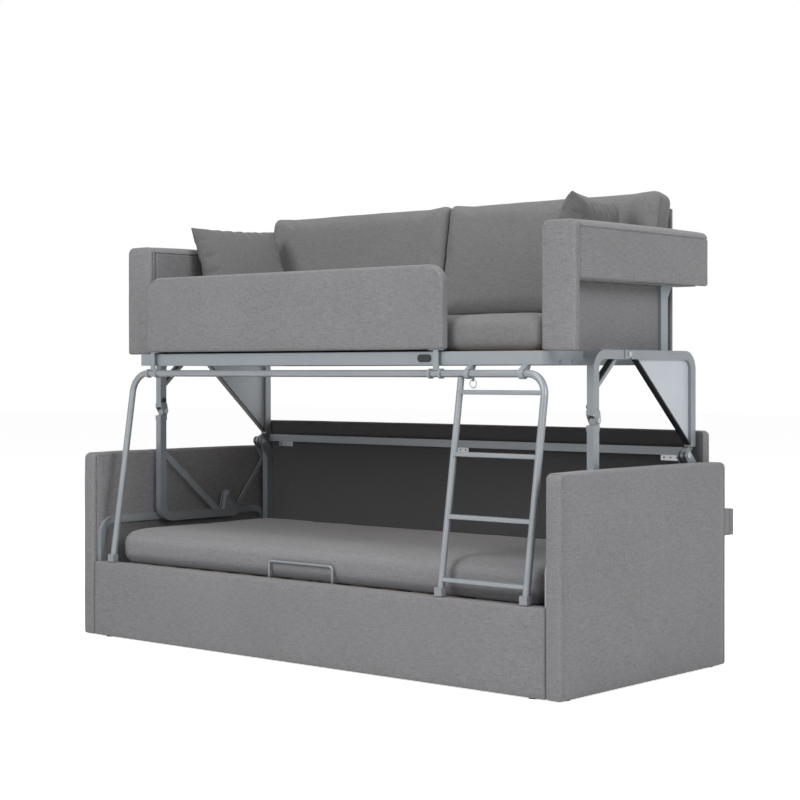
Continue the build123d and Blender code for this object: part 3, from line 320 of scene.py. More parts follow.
def add_node(tree: NodeTree, kind: str, inputs: dict[str | int, object] | None = None,
             **settings: object) -> Node:
    """Add one shader node, with its settings, values and links.

    Args:
        tree: The node tree of a material or of the world.
        kind: The node's type, without the word ShaderNode.
        inputs: Each input's name or number, with a value or the socket that feeds it.
        **settings: The node's own settings.

    Returns:
        The new node.
    """
    node = tree.nodes.new("ShaderNode" + kind)
    for setting, value in settings.items():
        setattr(node, setting, value)
    for name, value in (inputs or {}).items():
        if isinstance(value, NodeSocket):
            tree.links.new(value, node.inputs[name])
        else:
            node.inputs[name].default_value = value
    return node


def new_material(name: str) -> tuple[Material, NodeTree]:
    """Start a material.

    Args:
        name: The material's name.

    Returns:
        The material and its empty node tree.
    """
    material = bpy.data.materials.new(name)
    material.use_nodes = True
    material.node_tree.nodes.clear()
    return material, material.node_tree


def close_material(material: Material, shader: Node) -> Material:
    """Link a shader to the material's output."""
    add_node(material.node_tree, "OutputMaterial", {"Surface": shader.outputs[0]})
    return material


@dataclass(frozen=True)
class WovenPolyester:
    """Slubbed polyester upholstery cloth in a plain weave.

    The yarn is matt and uneven, so the eye gets short thick threads along warp and weft, a fine
    grain between them and faint broad clouds. Real threads are 0.8 mm apart, which is finer than a
    pixel here, so the slubs are drawn 3.4 mm thick and 28 mm long.
    """

    name: str
    yarn: str
    contrast: float = 0.29
    slub_long: float = 0.028
    slub_thick: float = 0.0034
    slub_detail: float = 2.0
    grain: float = 0.0022
    grain_detail: float = 1.0
    cloud: float = 0.3
    fine_share: float = 0.6
    slub_share: float = 0.75
    upright_share: float = 0.8
    cloud_share: float = 0.3
    tone_reach: float = 0.5
    relief: float = 0.0009
    bump: float = 0.5
    roughness: float = 0.92
    specular: float = 0.18
    sheen: float = 0.12
    sheen_roughness: float = 0.5

    def make(self) -> Material:
        """Build the material."""
        material, tree = new_material(self.name)
        place = add_node(tree, "TexCoord").outputs["Object"]
        thin, lengthy = 1 / self.slub_thick, 1 / self.slub_long
        upright = self.upright_share * lengthy + (1 - self.upright_share) * thin
        layers = []
        for stretch in ((lengthy, thin, thin), (thin, lengthy, thin), (thin, thin, upright)):
            laid = add_node(tree, "Mapping", {"Vector": place, "Scale": stretch})
            layers.append((laid.outputs[0], 1.0, self.slub_detail))
        layers.append((place, 1 / self.grain, self.grain_detail))
        layers.append((place, 1 / self.cloud, self.slub_detail))
        made = [add_node(tree, "TexNoise", {"Vector": at, "Scale": scale, "Detail": detail})
                for at, scale, detail in layers]
        *slubs, fine, broad = [layer.outputs["Fac"] for layer in made]
        woven = add_node(tree, "Math", {0: fine, 1: self.fine_share}, operation="MULTIPLY")
        for slub in slubs:
            woven = add_node(tree, "Math", {0: slub, 1: self.slub_share, 2: woven.outputs[0]},
                             operation="MULTIPLY_ADD")
        clouded = add_node(tree, "Math", {0: broad, 1: self.cloud_share, 2: woven.outputs[0]},
                           operation="MULTIPLY_ADD")
        mean = (self.fine_share + len(slubs) * self.slub_share + self.cloud_share) / 2
        tone = add_node(tree, "MapRange",
                        {"Value": clouded.outputs[0],
                         "From Min": mean - self.tone_reach, "From Max": mean + self.tone_reach,
                         "To Min": 1 - self.contrast, "To Max": 1 + self.contrast})
        colour = add_node(tree, "VectorMath",
                          {0: linear(self.yarn)[:3], "Scale": tone.outputs[0]}, operation="SCALE")
        bump = add_node(tree, "Bump", {"Height": woven.outputs[0], "Strength": self.bump,
                                       "Distance": self.relief})
        shader = add_node(tree, "BsdfPrincipled",
                          {"Base Color": colour.outputs[0], "Roughness": self.roughness,
                           "Specular IOR Level": self.specular, "Sheen Weight": self.sheen,
                           "Sheen Roughness": self.sheen_roughness, "Normal": bump.outputs[0]})
        return close_material(material, shader)


@dataclass(frozen=True)
class CoatedSteel:
    """Steel with a baked powder coat, or a plated one where it is metallic.

    A powder coat melts into a slightly orange-peeled skin, which gives soft wide highlights.
    """

    name: str
    coat: str
    roughness: float = 0.38
    metallic: float = 0.35
    peel: float = 0.003
    relief: float = 0.00012
    bump: float = 0.6
    cloud: float = 0.12
    cloud_detail: float = 3.0
    polish: float = 0.05
    wear: float = 0.07
    unevenness: float = 0.04

    def make(self) -> Material:
        """Build the material."""
        material, tree = new_material(self.name)
        place = add_node(tree, "TexCoord").outputs["Object"]
        peel = add_node(tree, "TexNoise", {"Vector": place, "Scale": 1 / self.peel, "Detail": 1.0})
        cloud = add_node(tree, "TexNoise", {"Vector": place, "Scale": 1 / self.cloud,
                                            "Detail": self.cloud_detail})
        cloudy = {"Value": cloud.outputs["Fac"], "From Min": NOISE_LOW, "From Max": NOISE_HIGH}
        worn = add_node(tree, "MapRange", cloudy | {"To Min": self.roughness - self.polish,
                                                    "To Max": self.roughness + self.wear})
        tone = add_node(tree, "MapRange", cloudy | {"To Min": 1 - self.unevenness,
                                                    "To Max": 1 + self.unevenness})
        colour = add_node(tree, "VectorMath",
                          {0: linear(self.coat)[:3], "Scale": tone.outputs[0]}, operation="SCALE")
        bump = add_node(tree, "Bump", {"Height": peel.outputs["Fac"], "Strength": self.bump,
                                       "Distance": self.relief})
        shader = add_node(tree, "BsdfPrincipled",
                          {"Base Color": colour.outputs[0], "Roughness": worn.outputs[0],
                           "Metallic": self.metallic, "Normal": bump.outputs[0]})
        return close_material(material, shader)


@dataclass(frozen=True)
class SawnTimber:
    """Birch plywood or varnished beech, with long grain along one way of the bed."""

    name: str
    pale: str
    dark: str
    along: Axis
    roughness: float = 0.6
    grain_long: float = 0.4
    grain_wide: float = 0.004
    grain_detail: float = 4.0
    waviness: float = 0.4
    relief: float = 0.0004
    bump: float = 0.3

    def make(self) -> Material:
        """Build the material."""
        material, tree = new_material(self.name)
        place = add_node(tree, "TexCoord").outputs["Object"]
        stretch = [1 / self.grain_wide] * 3
        stretch[self.along.value] = 1 / self.grain_long
        laid = add_node(tree, "Mapping", {"Vector": place, "Scale": stretch})
        grain = add_node(tree, "TexNoise",
                         {"Vector": laid.outputs[0], "Scale": 1.0, "Detail": self.grain_detail,
                          "Distortion": self.waviness})
        ramp = add_node(tree, "ValToRGB", {"Fac": grain.outputs["Fac"]})
        stops = ((NOISE_LOW, self.dark), (NOISE_HIGH, self.pale))
        for stop, (position, code) in zip(ramp.color_ramp.elements, stops):
            stop.position, stop.color = position, linear(code)
        bump = add_node(tree, "Bump", {"Height": grain.outputs["Fac"], "Strength": self.bump,
                                       "Distance": self.relief})
        shader = add_node(tree, "BsdfPrincipled",
                          {"Base Color": ramp.outputs[0], "Roughness": self.roughness,
                           "Normal": bump.outputs[0]})
        return close_material(material, shader)


@dataclass(frozen=True)
class MouldedPlastic:
    """Injection moulded ABS or nylon with a fine spark-eroded grain."""

    name: str
    resin: str
    roughness: float = 0.5
    grain: float = 0.0015
    unevenness: float = 0.07
    relief: float = 0.0001
    bump: float = 0.4

    def make(self) -> Material:
        """Build the material."""
        material, tree = new_material(self.name)
        place = add_node(tree, "TexCoord").outputs["Object"]
        grain = add_node(tree, "TexNoise", {"Vector": place, "Scale": 1 / self.grain,
                                            "Detail": 1.0})
        tone = add_node(tree, "MapRange", {"Value": grain.outputs["Fac"],
                                           "To Min": 1 - self.unevenness,
                                           "To Max": 1 + self.unevenness})
        colour = add_node(tree, "VectorMath",
                          {0: linear(self.resin)[:3], "Scale": tone.outputs[0]}, operation="SCALE")
        bump = add_node(tree, "Bump", {"Height": grain.outputs["Fac"], "Strength": self.bump,
                                       "Distance": self.relief})
        shader = add_node(tree, "BsdfPrincipled",
                          {"Base Color": colour.outputs[0], "Roughness": self.roughness,
                           "Normal": bump.outputs[0]})
        return close_material(material, shader)


FINISHES = {
    "base_fabric": WovenPolyester("woven_polyester_base", "#868587"),
    # The seat and back cushion cloth is drawn darker than the base cloth: painted shade for the
    # slight shade that the cushions sit in.
    "seat_fabric": WovenPolyester("woven_polyester_seat_painted_shade", "#7D7D7E", contrast=0.24),
    # The mattress cloth is drawn paler than the base cloth: painted light for the light that falls
    # on its top.
    "mattress_fabric": WovenPolyester("woven_polyester_mattress", "#8D8C8E", contrast=0.24),
    "pillow_fabric": WovenPolyester("woven_polyester_pillow", "#6E6E6F", contrast=0.24),
    # The lining's dark tone is partly its own and partly painted shade for the shade under the deck
    # on the back panel's inner face.
    "lining_and_shade_fabric": WovenPolyester("polyester_lining_and_painted_shade", "#5A5A5C", contrast=0.08),
    "tube_paint": CoatedSteel("powder_coated_tube", "#8F9499"),
    "frame_paint": CoatedSteel("powder_coated_frame", "#959CA1", roughness=0.42, metallic=0.25),
    "black_paint": CoatedSteel("black_enamelled_steel", "#1B1C1E", roughness=0.45, metallic=0.0),
    "zinc": CoatedSteel("zinc_plated_steel", "#B4B6B8", roughness=0.32, metallic=0.9),
    "plywood": SawnTimber("birch_plywood", "#B39A78", "#9A8263", Axis.X),
    "slat_wood": SawnTimber("varnished_beech", "#C7A77C", "#AE8C61", Axis.Y, roughness=0.4),
    "black_plastic": MouldedPlastic("black_nylon", "#17181A"),
    "shoe_plastic": MouldedPlastic("grey_abs", "#8B8F93"),
}

# The gussets are folded from sheet and drawn paler than the tubes and channels: a lit copy of the
# frame coat, whose extra paleness is painted light on their flat faces.
LIT_SHEET_FINISH = CoatedSteel("powder_coated_sheet_painted_light", "#C4CBD1", roughness=0.45, metallic=0.1)
SHEET_NODES = ("left_gusset", "right_gusset")


class Wardrobe:
    """Every finish, made once and handed to the pieces that wear it."""

    def __init__(self) -> None:
        """Make every finish."""
        self.made = {slot: finish.make() for slot, finish in FINISHES.items()}
        self.sheet = LIT_SHEET_FINISH.make()

    def dress(self, piece: Object, slot: str) -> None:
        """Give a piece one finish all over."""
        piece.data.materials.clear()
        piece.data.materials.append(self.made[slot])

    def dress_frame(self, frame: dict) -> None:
        """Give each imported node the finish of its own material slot.
        """
        for row in frame["record"]["subparts"]:
            worn = frame["nodes"][row["node"]].data.materials
            # The gussets get the paler copy of the frame coat, whose extra paleness is painted
            # light.
            finish = self.sheet if row["node"] in SHEET_NODES else self.made[row["material_slot"]]
            if not worn:
                worn.append(finish)
            for number in range(len(worn)):
                worn[number] = finish


@dataclass
class Assembly:
    """What every sub-assembly of the bed shares."""

    wardrobe: Wardrobe

    def place(self, piece: Object, body: str, slot: str, *nodes: str,
              fill: float | None = None) -> None:
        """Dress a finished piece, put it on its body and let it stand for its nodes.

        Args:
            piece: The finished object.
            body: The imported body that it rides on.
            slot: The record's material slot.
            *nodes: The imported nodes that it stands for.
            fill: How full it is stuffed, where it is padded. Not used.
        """
        if not piece.data.materials:
            self.wardrobe.dress(piece, slot)
        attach(piece, body)
        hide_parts(*nodes)
        log.info("%s rides on %s: %d faces", piece.name, body, len(piece.data.polygons))

    def place_pair(self, right: Object, body: str, slot: str, *nodes: str,
                   fill: float | None = None) -> None:
        """Place a piece of the right end, and its mirror image at the left.

        Args:
            right: The finished piece, named for the right end.
            body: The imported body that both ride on.
            slot: The record's material slot.
            *nodes: The nodes that the right one stands for.
            fill: How full each is stuffed, where it is padded.
        """
        left = mirrored(right, right.name.replace("right", "left"))
        self.place(right, body, slot, *nodes, fill=fill)
        self.place(left, body, slot, *(node.replace("right", "left") for node in nodes), fill=fill)


# Boards wrapped in foam and cloth


@dataclass(frozen=True)
class Wrapping:
    """How cloth and foam lie on a board: rounded edges, a soft crown and sewn seams.

    corner rounds the upper edges that run front to back, and corner_x those that run left to right.
    Only the faces in outward swell, over the outer share of the board that border gives.
    """

    outward: tuple[tuple[Axis, int], ...]
    rounding: float = 0.014
    rounding_steps: int = 5
    corner: float = 0.0
    corner_x: float = 0.0
    corner_steps: int = 10
    crown: float = 0.002
    crown_power: int = 4
    border: float = 0.3
    unrest: float = 0.0007
    unrest_wide: float = 0.09
    cell: float = 0.05
    seams: tuple[tuple[Axis, float], ...] = ()
    seam_half: float = 0.0035
    seam_deep: float = 0.0035


def wrapped_board(name: str, node: str, wrap: Wrapping) -> Object:
    """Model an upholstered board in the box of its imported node.

    Args:
        name: The new object's name.
        node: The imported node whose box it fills.
        wrap: How its cover lies.

    Returns:
        The finished board.
    """
    low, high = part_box(node)
    piece = block(name, low, high)
    for way, round_by in ((Axis.Y, wrap.corner), (Axis.X, wrap.corner_x)):
        if not round_by:
            continue
        with editing(piece) as mesh:
            for edge in mesh.edges:
                tops = all(point.co.z > high.z - TOUCH for point in edge.verts)
                along = abs(edge.verts[0].co[way.value] - edge.verts[1].co[way.value]) > TOUCH
                edge.select = tops and along
            bpy.ops.mesh.bevel(offset=round_by, segments=wrap.corner_steps, affect="EDGES")
    cut_grid(piece, low, high, wrap.cell)
    for axis, place in wrap.seams:
        cut_across(piece, axis, [place - wrap.seam_half, place, place + wrap.seam_half])
    finish_with(piece, "BEVEL", width=wrap.rounding, segments=wrap.rounding_steps,
                limit_method="ANGLE", angle_limit=STEEL_CREASE, use_clamp_overlap=False)
    middle, half = (low + high) / 2, (high - low) / 2

    def settle(place: Vector, normal: Vector) -> Vector:
        """Swell the open faces, and draw the seams in."""
        shares = [(place[way] - middle[way]) / half[way] for way in range(3)]
        moved = place.copy()
        for axis, sign in wrap.outward:
            others = [shares[way] for way in range(3) if way != axis.value]
            face = smooth_step((sign * shares[axis.value] - (1 - wrap.border)) / wrap.border)
            fades = [1 - share ** wrap.crown_power for share in others]
            rise = max(0.0, wrap.crown * fades[0] * fades[1])
            rise += wrap.unrest * ripple(place, wrap.unrest_wide)
            moved[axis.value] += sign * face * rise
        for axis, where in wrap.seams:
            off = abs(place[axis.value] - where)
            if off < wrap.seam_half:
                moved -= normal * wrap.seam_deep * (1 - off / wrap.seam_half)
        return moved

    move_points(piece, settle)
    shade(piece, BOARD_CREASE)
    return piece


@dataclass
class FixedBase(Assembly):
    """The side arms, front panel and back panel that stand on the floor.

    relief_in and relief_deep say how far the front panel's ends are cut back round the end tubes.
    """

    arm_round: float = 0.009
    arm_corner: float = 0.02
    arm_crown: float = 0.003
    panel_round: float = 0.009
    back_round: float = 0.016
    hem: float = 0.006
    edge_seam: float = 0.0125
    relief_in: float = 0.0192
    relief_deep: float = 0.018

    def build(self) -> None:
        """Model each board and stand it in its place."""
        low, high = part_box("right_side_arm")
        wrap = Wrapping(outward=((Axis.X, 1), (Axis.Z, 1), (Axis.Y, -1)), rounding=self.arm_round,
                        corner_x=self.arm_corner, crown=self.arm_crown,
                        seams=((Axis.Y, low.y + self.edge_seam), (Axis.Y, high.y - self.edge_seam)))
        arm = wrapped_board("right_side_arm_cover", "right_side_arm", wrap)
        self.place_pair(arm, "base", "base_fabric", "right_side_arm", fill=BOARD_FILL)
        self.build_front()
        self.build_back()

    def build_front(self) -> None:
        """The long front panel, cut back at its ends to clear the end tubes."""
        low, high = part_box("front_panel")
        wrap = Wrapping(outward=((Axis.Y, -1),), rounding=self.panel_round)
        panel = wrapped_board("front_panel_cover", "front_panel", wrap)
        for side in Side:
            end = side.value * (high.x - self.relief_in)
            start, stop = sorted((end, side.value * (high.x + self.relief_in)))
            cut_box(panel, Vector((start, low.y + self.relief_deep, low.z - self.relief_in)),
                    Vector((stop, high.y + self.relief_in, high.z + self.relief_in)))
        shade(panel)
        self.place(panel, "base", "base_fabric", "front_panel", fill=BOARD_FILL)

    def build_back(self) -> None:
        """The back panel in the main cloth, with a dark lining on its inner face. The lining's
        darkness is partly painted shade for the shade under the deck.
        """
        wrap = Wrapping(outward=((Axis.Y, 1), (Axis.Z, 1)), rounding=self.back_round)
        panel = wrapped_board("back_panel_cover", "back_panel", wrap)
        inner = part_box("back_panel")[0].y + self.hem
        self.wardrobe.dress(panel, "base_fabric")
        panel.data.materials.append(self.wardrobe.made["lining_and_shade_fabric"])
        # Faces on the inner side get the lining, whose dark tone is partly painted shade.
        for face in panel.data.polygons:
            if face.center.y < inner:
                face.material_index = 1
        self.place(panel, "base", "base_fabric", "back_panel", fill=BOARD_FILL)


@dataclass
class UpperArms(Assembly):
    """The arms of the upper sofa: front board, armrest and inner panel at each end.

    The pocket under an armrest takes the rear arm's corner, and the notch lets it in from behind.
    """

    top_corner: float = 0.024
    seam_in: float = 0.0118
    seam_down: float = 0.022
    top_round: float = 0.009
    post_round: float = 0.008
    rest_crown: float = 0.003
    panel_round: float = 0.003
    panel_crown: float = 0.001
    pocket_in: float = 0.943
    pocket_out: float = 0.978
    pocket_front: float = 0.0125
    pocket_top: float = 1.350
    notch_top: float = 1.246
    notch_wall: float = 0.014

    def build(self) -> None:
        """Model the right arm, which is mirrored to the left, and the board behind the cushions."""
        seam_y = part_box("right_arm_front")[0].y + self.seam_in
        wrap = Wrapping(outward=((Axis.Y, -1), (Axis.X, 1)), rounding=self.post_round,
                        corner=self.top_corner, seams=((Axis.Y, seam_y),))
        front = wrapped_board("right_arm_front_cover", "right_arm_front", wrap)
        seam_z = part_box("right_armrest")[1].z - self.seam_down
        wrap = Wrapping(outward=((Axis.X, 1), (Axis.Z, 1), (Axis.Y, 1)), rounding=self.top_round,
                        corner=self.top_corner, crown=self.rest_crown, seams=((Axis.Z, seam_z),))
        rest = wrapped_board("right_armrest_cover", "right_armrest", wrap)
        self.cut_pocket(rest)
        wrap = Wrapping(outward=((Axis.X, 1),), rounding=self.panel_round, crown=self.panel_crown)
        inner = wrapped_board("right_arm_inner_cover", "right_arm_inner", wrap)
        self.place_pair(front, "deck", "base_fabric", "right_arm_front", fill=BOARD_FILL)
        self.place_pair(rest, "deck", "base_fabric", "right_armrest", fill=BOARD_FILL)
        self.place_pair(inner, "deck", "base_fabric", "right_arm_inner")
        wrap = Wrapping(outward=((Axis.Y, 1),), rounding=self.panel_round, crown=self.panel_crown)
        board = wrapped_board("backrest_cover", "backrest_board", wrap)
        self.place(board, "deck", "base_fabric", "backrest_board")

    def cut_pocket(self, rest: Object) -> None:
        """Hollow an armrest from below, for the rear arm's corner when the bed is folded.

        Args:
            rest: The right armrest's cover.
        """
        low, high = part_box("right_armrest")
        under = low.z - self.notch_wall
        cut_box(rest, Vector((self.pocket_in, self.pocket_front, under)),
                Vector((self.pocket_out, high.y - self.notch_wall, self.pocket_top)))
        cut_box(rest, Vector((self.pocket_in, high.y - 2 * self.notch_wall, under)),
                Vector((self.pocket_out, high.y + self.notch_wall, self.notch_top)))
        shade(rest)


@dataclass
class GuardBoard(Assembly):
    """The padded guard along the front of the upper bed."""

    corner: float = 0.062
    rounding: float = 0.010
    crown: float = 0.003
    unrest: float = 0.0009

    def build(self) -> None:
        """Model the guard in its node's box."""
        wrap = Wrapping(outward=((Axis.Y, -1), (Axis.Y, 1)), rounding=self.rounding,
                        corner=self.corner, crown=self.crown, unrest=self.unrest)
        board = wrapped_board("guard_cover", "guard_panel", wrap)
        self.place(board, "guard", "base_fabric", "guard_panel", fill=BOARD_FILL)


# Cushions


@dataclass(frozen=True)
class Stuffing:
    """How a cushion swells in the cloth simulation. With no voxel size its own faces are kept."""

    pressure: float
    voxel: float = 0.0
    cap: float = 0.012
    frames: int = 20
    tension: float = 15.0
    bending: float = 0.5
    cloth_mass: float = 0.3
    quality: int = 5


def swell(piece: Object, stuffing: Stuffing) -> None:
    """Blow a closed mesh up as simulated cloth, and hold how far each point may go.

    Args:
        piece: The closed cover, a little smaller than the finished cushion.
        stuffing: The pressure, cloth and limits.
    """
    if stuffing.voxel:
        finish_with(piece, "REMESH", mode="VOXEL", voxel_size=stuffing.voxel)
    start = [point.co.copy() for point in piece.data.vertices]
    only(piece)
    cloth = piece.modifiers.new("cloth", "CLOTH")
    cloth.settings.quality = stuffing.quality
    cloth.settings.mass = stuffing.cloth_mass
    cloth.settings.tension_stiffness = cloth.settings.compression_stiffness = stuffing.tension
    cloth.settings.bending_stiffness = stuffing.bending
    cloth.settings.use_pressure = True
    cloth.settings.uniform_pressure_force = stuffing.pressure
    cloth.settings.effector_weights.gravity = 0
    cloth.point_cache.frame_start, cloth.point_cache.frame_end = 1, stuffing.frames
    for frame_number in range(1, stuffing.frames + 1):
        bpy.context.scene.frame_set(frame_number)
    bpy.ops.object.modifier_apply(modifier=cloth.name)
    bpy.context.scene.frame_set(1)
    for point, rest in zip(piece.data.vertices, start):
        step = point.co - rest
        if step.length > stuffing.cap:
            point.co = rest + step.normalized() * stuffing.cap
    piece.data.update()


def draw_seam(piece: Object, axis: Axis, place: float, half: float, deep: float) -> None:
    """Sew a line round a cushion in a plane: cut it in and pull it down.

    Args:
        piece: The cushion, in its own frame.
        axis: The way that the seam's plane faces.
        place: Where the plane lies.
        half: Half the width of the valley that the thread pulls in.
        deep: How deep the valley is.
    """
    cut_across(piece, axis, [place - half, place - half / 2, place, place + half / 2, place + half])

    def pull(where: Vector, normal: Vector) -> Vector:
        """Draw a point in by how near the thread it is."""
        off = abs(where[axis.value] - place)
        if off > half:
            return where
        return where - normal * deep * smooth_step(1 - off / half)

    move_points(piece, pull)


def press_flat(piece: Object, floor: float) -> None:
    """Press the underside of a cushion flat, where it lies on slats or a board."""
    move_points(piece, lambda place, normal: Vector((place.x, place.y, max(floor, place.z))))


def fit_to(piece: Object, node: str) -> None:
    """Move and size a cushion so that its box is its node's box.

    Args:
        piece: The cushion.
        node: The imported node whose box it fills.
    """
    low, high = mesh_box(piece)
    want_low, want_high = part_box(node)
    scale = Vector((want_high[way] - want_low[way]) / (high[way] - low[way]) for way in range(3))
    grow = Matrix.Diagonal((*scale, 1))
    middle = Matrix.Translation((want_low + want_high) / 2)
    turned(piece, middle @ grow @ Matrix.Translation(-(low + high) / 2))


@dataclass(frozen=True)
class BoxedCushion:
    """The sizes of a cushion with a border: two panels sewn to a band.

    Each swell in swells is a share of the dimple and how far apart its highs lie.
    """

    half_x: float
    half_y: float
    thick: float
    corner: float
    edge: float
    stuffing: Stuffing
    seams: tuple[float, ...] = ()
    seam_half: float = 0.006
    seam_deep: float = 0.0035
    dimple: float = 0.002
    swells: tuple[tuple[float, float], ...] = ((0.6, 0.16), (0.4, 0.07))
    round_steps: int = 6
    relaxing: int = 4

    def make(self, name: str) -> Object:
        """Model the cushion about the origin, with +Z out of its face.

        Args:
            name: The new object's name.

        Returns:
            The swollen, sewn and smoothed cushion.
        """
        slack = self.stuffing.cap / 2
        low = Vector((-self.half_x + slack, -self.half_y + slack, -self.thick / 2))
        high = -low
        piece = block(name, low, high)
        with editing(piece) as mesh:
            for edge in mesh.edges:
                edge.select = abs(edge.verts[0].co.z - edge.verts[1].co.z) > TOUCH
            bpy.ops.mesh.bevel(offset=self.corner, segments=self.round_steps, affect="EDGES")
        finish_with(piece, "BEVEL", width=self.edge, segments=self.round_steps,
                    limit_method="ANGLE", angle_limit=STEEL_CREASE, use_clamp_overlap=False)
        swell(piece, self.stuffing)
        finish_with(piece, "SMOOTH", factor=0.5, iterations=self.relaxing)

        def rumple(place: Vector, normal: Vector) -> Vector:
            """Give the cover faint swells, as used foam has."""
            return place + normal * self.dimple * sum(
                share * ripple(place, wide) for share, wide in self.swells)

        move_points(piece, rumple)
        finish_with(piece, "SUBSURF", levels=1, render_levels=1)
        for place in self.seams:
            draw_seam(piece, Axis.Z, place, self.seam_half, self.seam_deep)
        shade(piece, CUSHION_CREASE)
        return piece


@dataclass(frozen=True)
class Pillow:
    """A square pillow of two panels sewn edge to edge, full in the middle and puckered at its seam.

    Each side is drawn in between its corners. Its gathers run in from the seam over the share
    pucker_in, and die out within a fourteenth of the seam and a fifth of the diagonals.
    """

    half: float = 0.2
    narrow: float = 0.93
    plump: float = 0.124
    seam_thick: float = 0.004
    cells: int = 48
    fullness: float = 0.46
    draw: float = 0.045
    pucker: float = 0.011
    pucker_wide: float = 0.026
    pucker_run: float = 0.2
    pucker_in: float = 0.45
    seam_fade: float = 14.0
    diagonal_fade: float = 5.0
    stuffing: Stuffing = Stuffing(pressure=2.0, cap=0.008, frames=16, tension=8.0, bending=0.1)

    def make(self, name: str, slump: float) -> Object:
        """Model the pillow about the origin, with +Z out of its face.

        Args:
            name: The new object's name.
            slump: How far its rear top corner sinks.

        Returns:
            The stuffed and smoothed pillow.
        """
        half, thin = self.half, self.seam_thick / 2
        low, high = Vector((-half, -half, -thin)), Vector((half, half, thin))
        piece = block(name, low, high)
        cut_grid(piece, low, high, 2 * half / self.cells)

        def stuff(place: Vector, normal: Vector) -> Vector:
            """Fill both panels, and draw the sides in between the corners."""
            across, along = place.x / half, place.y / half
            open_by = max(0.0, (1 - across ** 2) * (1 - along ** 2)) ** self.fullness
            edge = max(abs(across), abs(along))
            near = smooth_step((edge - 1 + self.pucker_in) / self.pucker_in)
            near *= smooth_step((1 - edge) * self.seam_fade)
            near *= smooth_step(abs(abs(across) - abs(along)) * self.diagonal_fade)
            sideways = abs(across) > abs(along)
            lead, cross = (place.y, place.x) if sideways else (place.x, place.y + half)
            fold = ripple(Vector((lead, cross * self.pucker_run, 0)), self.pucker_wide)
            height = (self.plump / 2 - thin) * open_by + self.pucker * near * fold
            sunk = slump * smooth_step((across + 1) / 2) * smooth_step((along + 1) / 2)
            return Vector((self.narrow * place.x * (1 - self.draw * (1 - along ** 2) * abs(across)),
                           place.y * (1 - self.draw * (1 - across ** 2) * abs(along)) - sunk,
                           place.z + (height if place.z > 0 else -height)))

        move_points(piece, stuff)
        swell(piece, self.stuffing)
        finish_with(piece, "SUBSURF", levels=1, render_levels=1)
        shade(piece, PILLOW_CREASE)
        return piece


@dataclass
class LowerBed(Assembly):
    """The mattress of the lower bed."""

    mattress: BoxedCushion = BoxedCushion(
        half_x=0.929, half_y=0.371, thick=0.121, corner=0.046, edge=0.040,
        stuffing=Stuffing(pressure=2.5, voxel=0.013))

    def build(self) -> None:
        """Model the mattress and lay it on its slats."""
        piece = self.mattress.make("lower_mattress_cover")
        press_flat(piece, -self.mattress.thick / 2)
        fit_to(piece, "lower_mattress")
        self.place(piece, "platform", "mattress_fabric", "lower_mattress", fill=BED_FILL)


@dataclass
class UpperCushions(Assembly):
    """The seat, back cushions and pillows of the upper sofa.

    Each entry of pillow_leans is a side, how far that pillow tips back, and how far its rear corner
    sinks.
    """

    seat: BoxedCushion = BoxedCushion(
        half_x=0.864, half_y=0.3605, thick=0.114, corner=0.034, edge=0.034,
        stuffing=Stuffing(pressure=2.5, voxel=0.013))
    back: BoxedCushion = BoxedCushion(
        half_x=0.431, half_y=0.203, thick=0.100, corner=0.036, edge=0.026,
        stuffing=Stuffing(pressure=3.0, voxel=0.009), seams=(0.026,))
    back_bulge: float = 0.012
    back_bulge_low: float = 1.365
    back_bulge_rise: float = 0.045
    back_bulge_power: int = 6
    back_lean: float = radians(10.8)
    pillow: Pillow = Pillow()
    pillow_turn: float = radians(12.3)
    pillow_leans: tuple[tuple[Side, float, float], ...] = (
        (Side.RIGHT, radians(14), 0.065), (Side.LEFT, radians(25), 0.006))

    def build(self) -> None:
        """Model every cushion and set it on the deck."""
        seat = self.seat.make("seat_cushion_cover")
        press_flat(seat, -self.seat.thick / 2)
        fit_to(seat, "seat_cushion")
        self.place(seat, "deck", "seat_fabric", "seat_cushion", fill=BED_FILL)
        self.build_backs()
        self.build_pillows()

    def build_backs(self) -> None:
        """Two back cushions that lean on the backrest board."""
        right = self.back.make("right_back_cushion_cover")
        up, out = sin(self.back_lean), cos(self.back_lean)
        turned(right, Matrix(((1, 0, 0, 0), (0, up, -out, 0), (0, out, up, 0), (0, 0, 0, 1))))
        fit_to(right, "right_back_cushion")
        low, high = mesh_box(right)

        def bulge(place: Vector, normal: Vector) -> Vector:
            """Let the cushion spread over the arm, above which nothing holds it."""
            share = (place.x - low.x) / (high.x - low.x)
            free = smooth_step((place.z - self.back_bulge_low) / self.back_bulge_rise)
            return place + Vector((self.back_bulge * share ** self.back_bulge_power * free, 0, 0))

        move_points(right, bulge)
        self.place_pair(right, "deck", "seat_fabric", "right_back_cushion", fill=BACK_FILL)

    def build_pillows(self) -> None:
        """Two square knife-edged pillows that lean on the arms."""
        for side, tip, slump in self.pillow_leans:
            piece = self.pillow.make(f"{side.word}_pillow_cover", slump)
            turn = self.pillow_turn
            side_way = Vector((-sin(turn), cos(turn), 0))
            face_way = Vector((-cos(turn) * cos(tip), -sin(turn) * cos(tip), sin(tip)))
            facing = Matrix((side_way, face_way.cross(side_way), face_way)).transposed().to_4x4()
            if side is Side.LEFT:
                facing = Matrix.Diagonal((-1, 1, 1, 1)) @ facing
            turned(piece, facing)
            low, high = mesh_box(piece)
            want_low, want_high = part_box(f"{side.word}_pillow")
            outwards = (want_high.x - high.x) if side is Side.RIGHT else (want_low.x - low.x)
            backwards = (want_low.y + want_high.y - low.y - high.y) / 2
            turned(piece, Matrix.Translation((outwards, backwards, want_low.z - low.z)))
            self.place(piece, "deck", "pillow_fabric", f"{side.word}_pillow", fill=PILLOW_FILL)


# Steel details


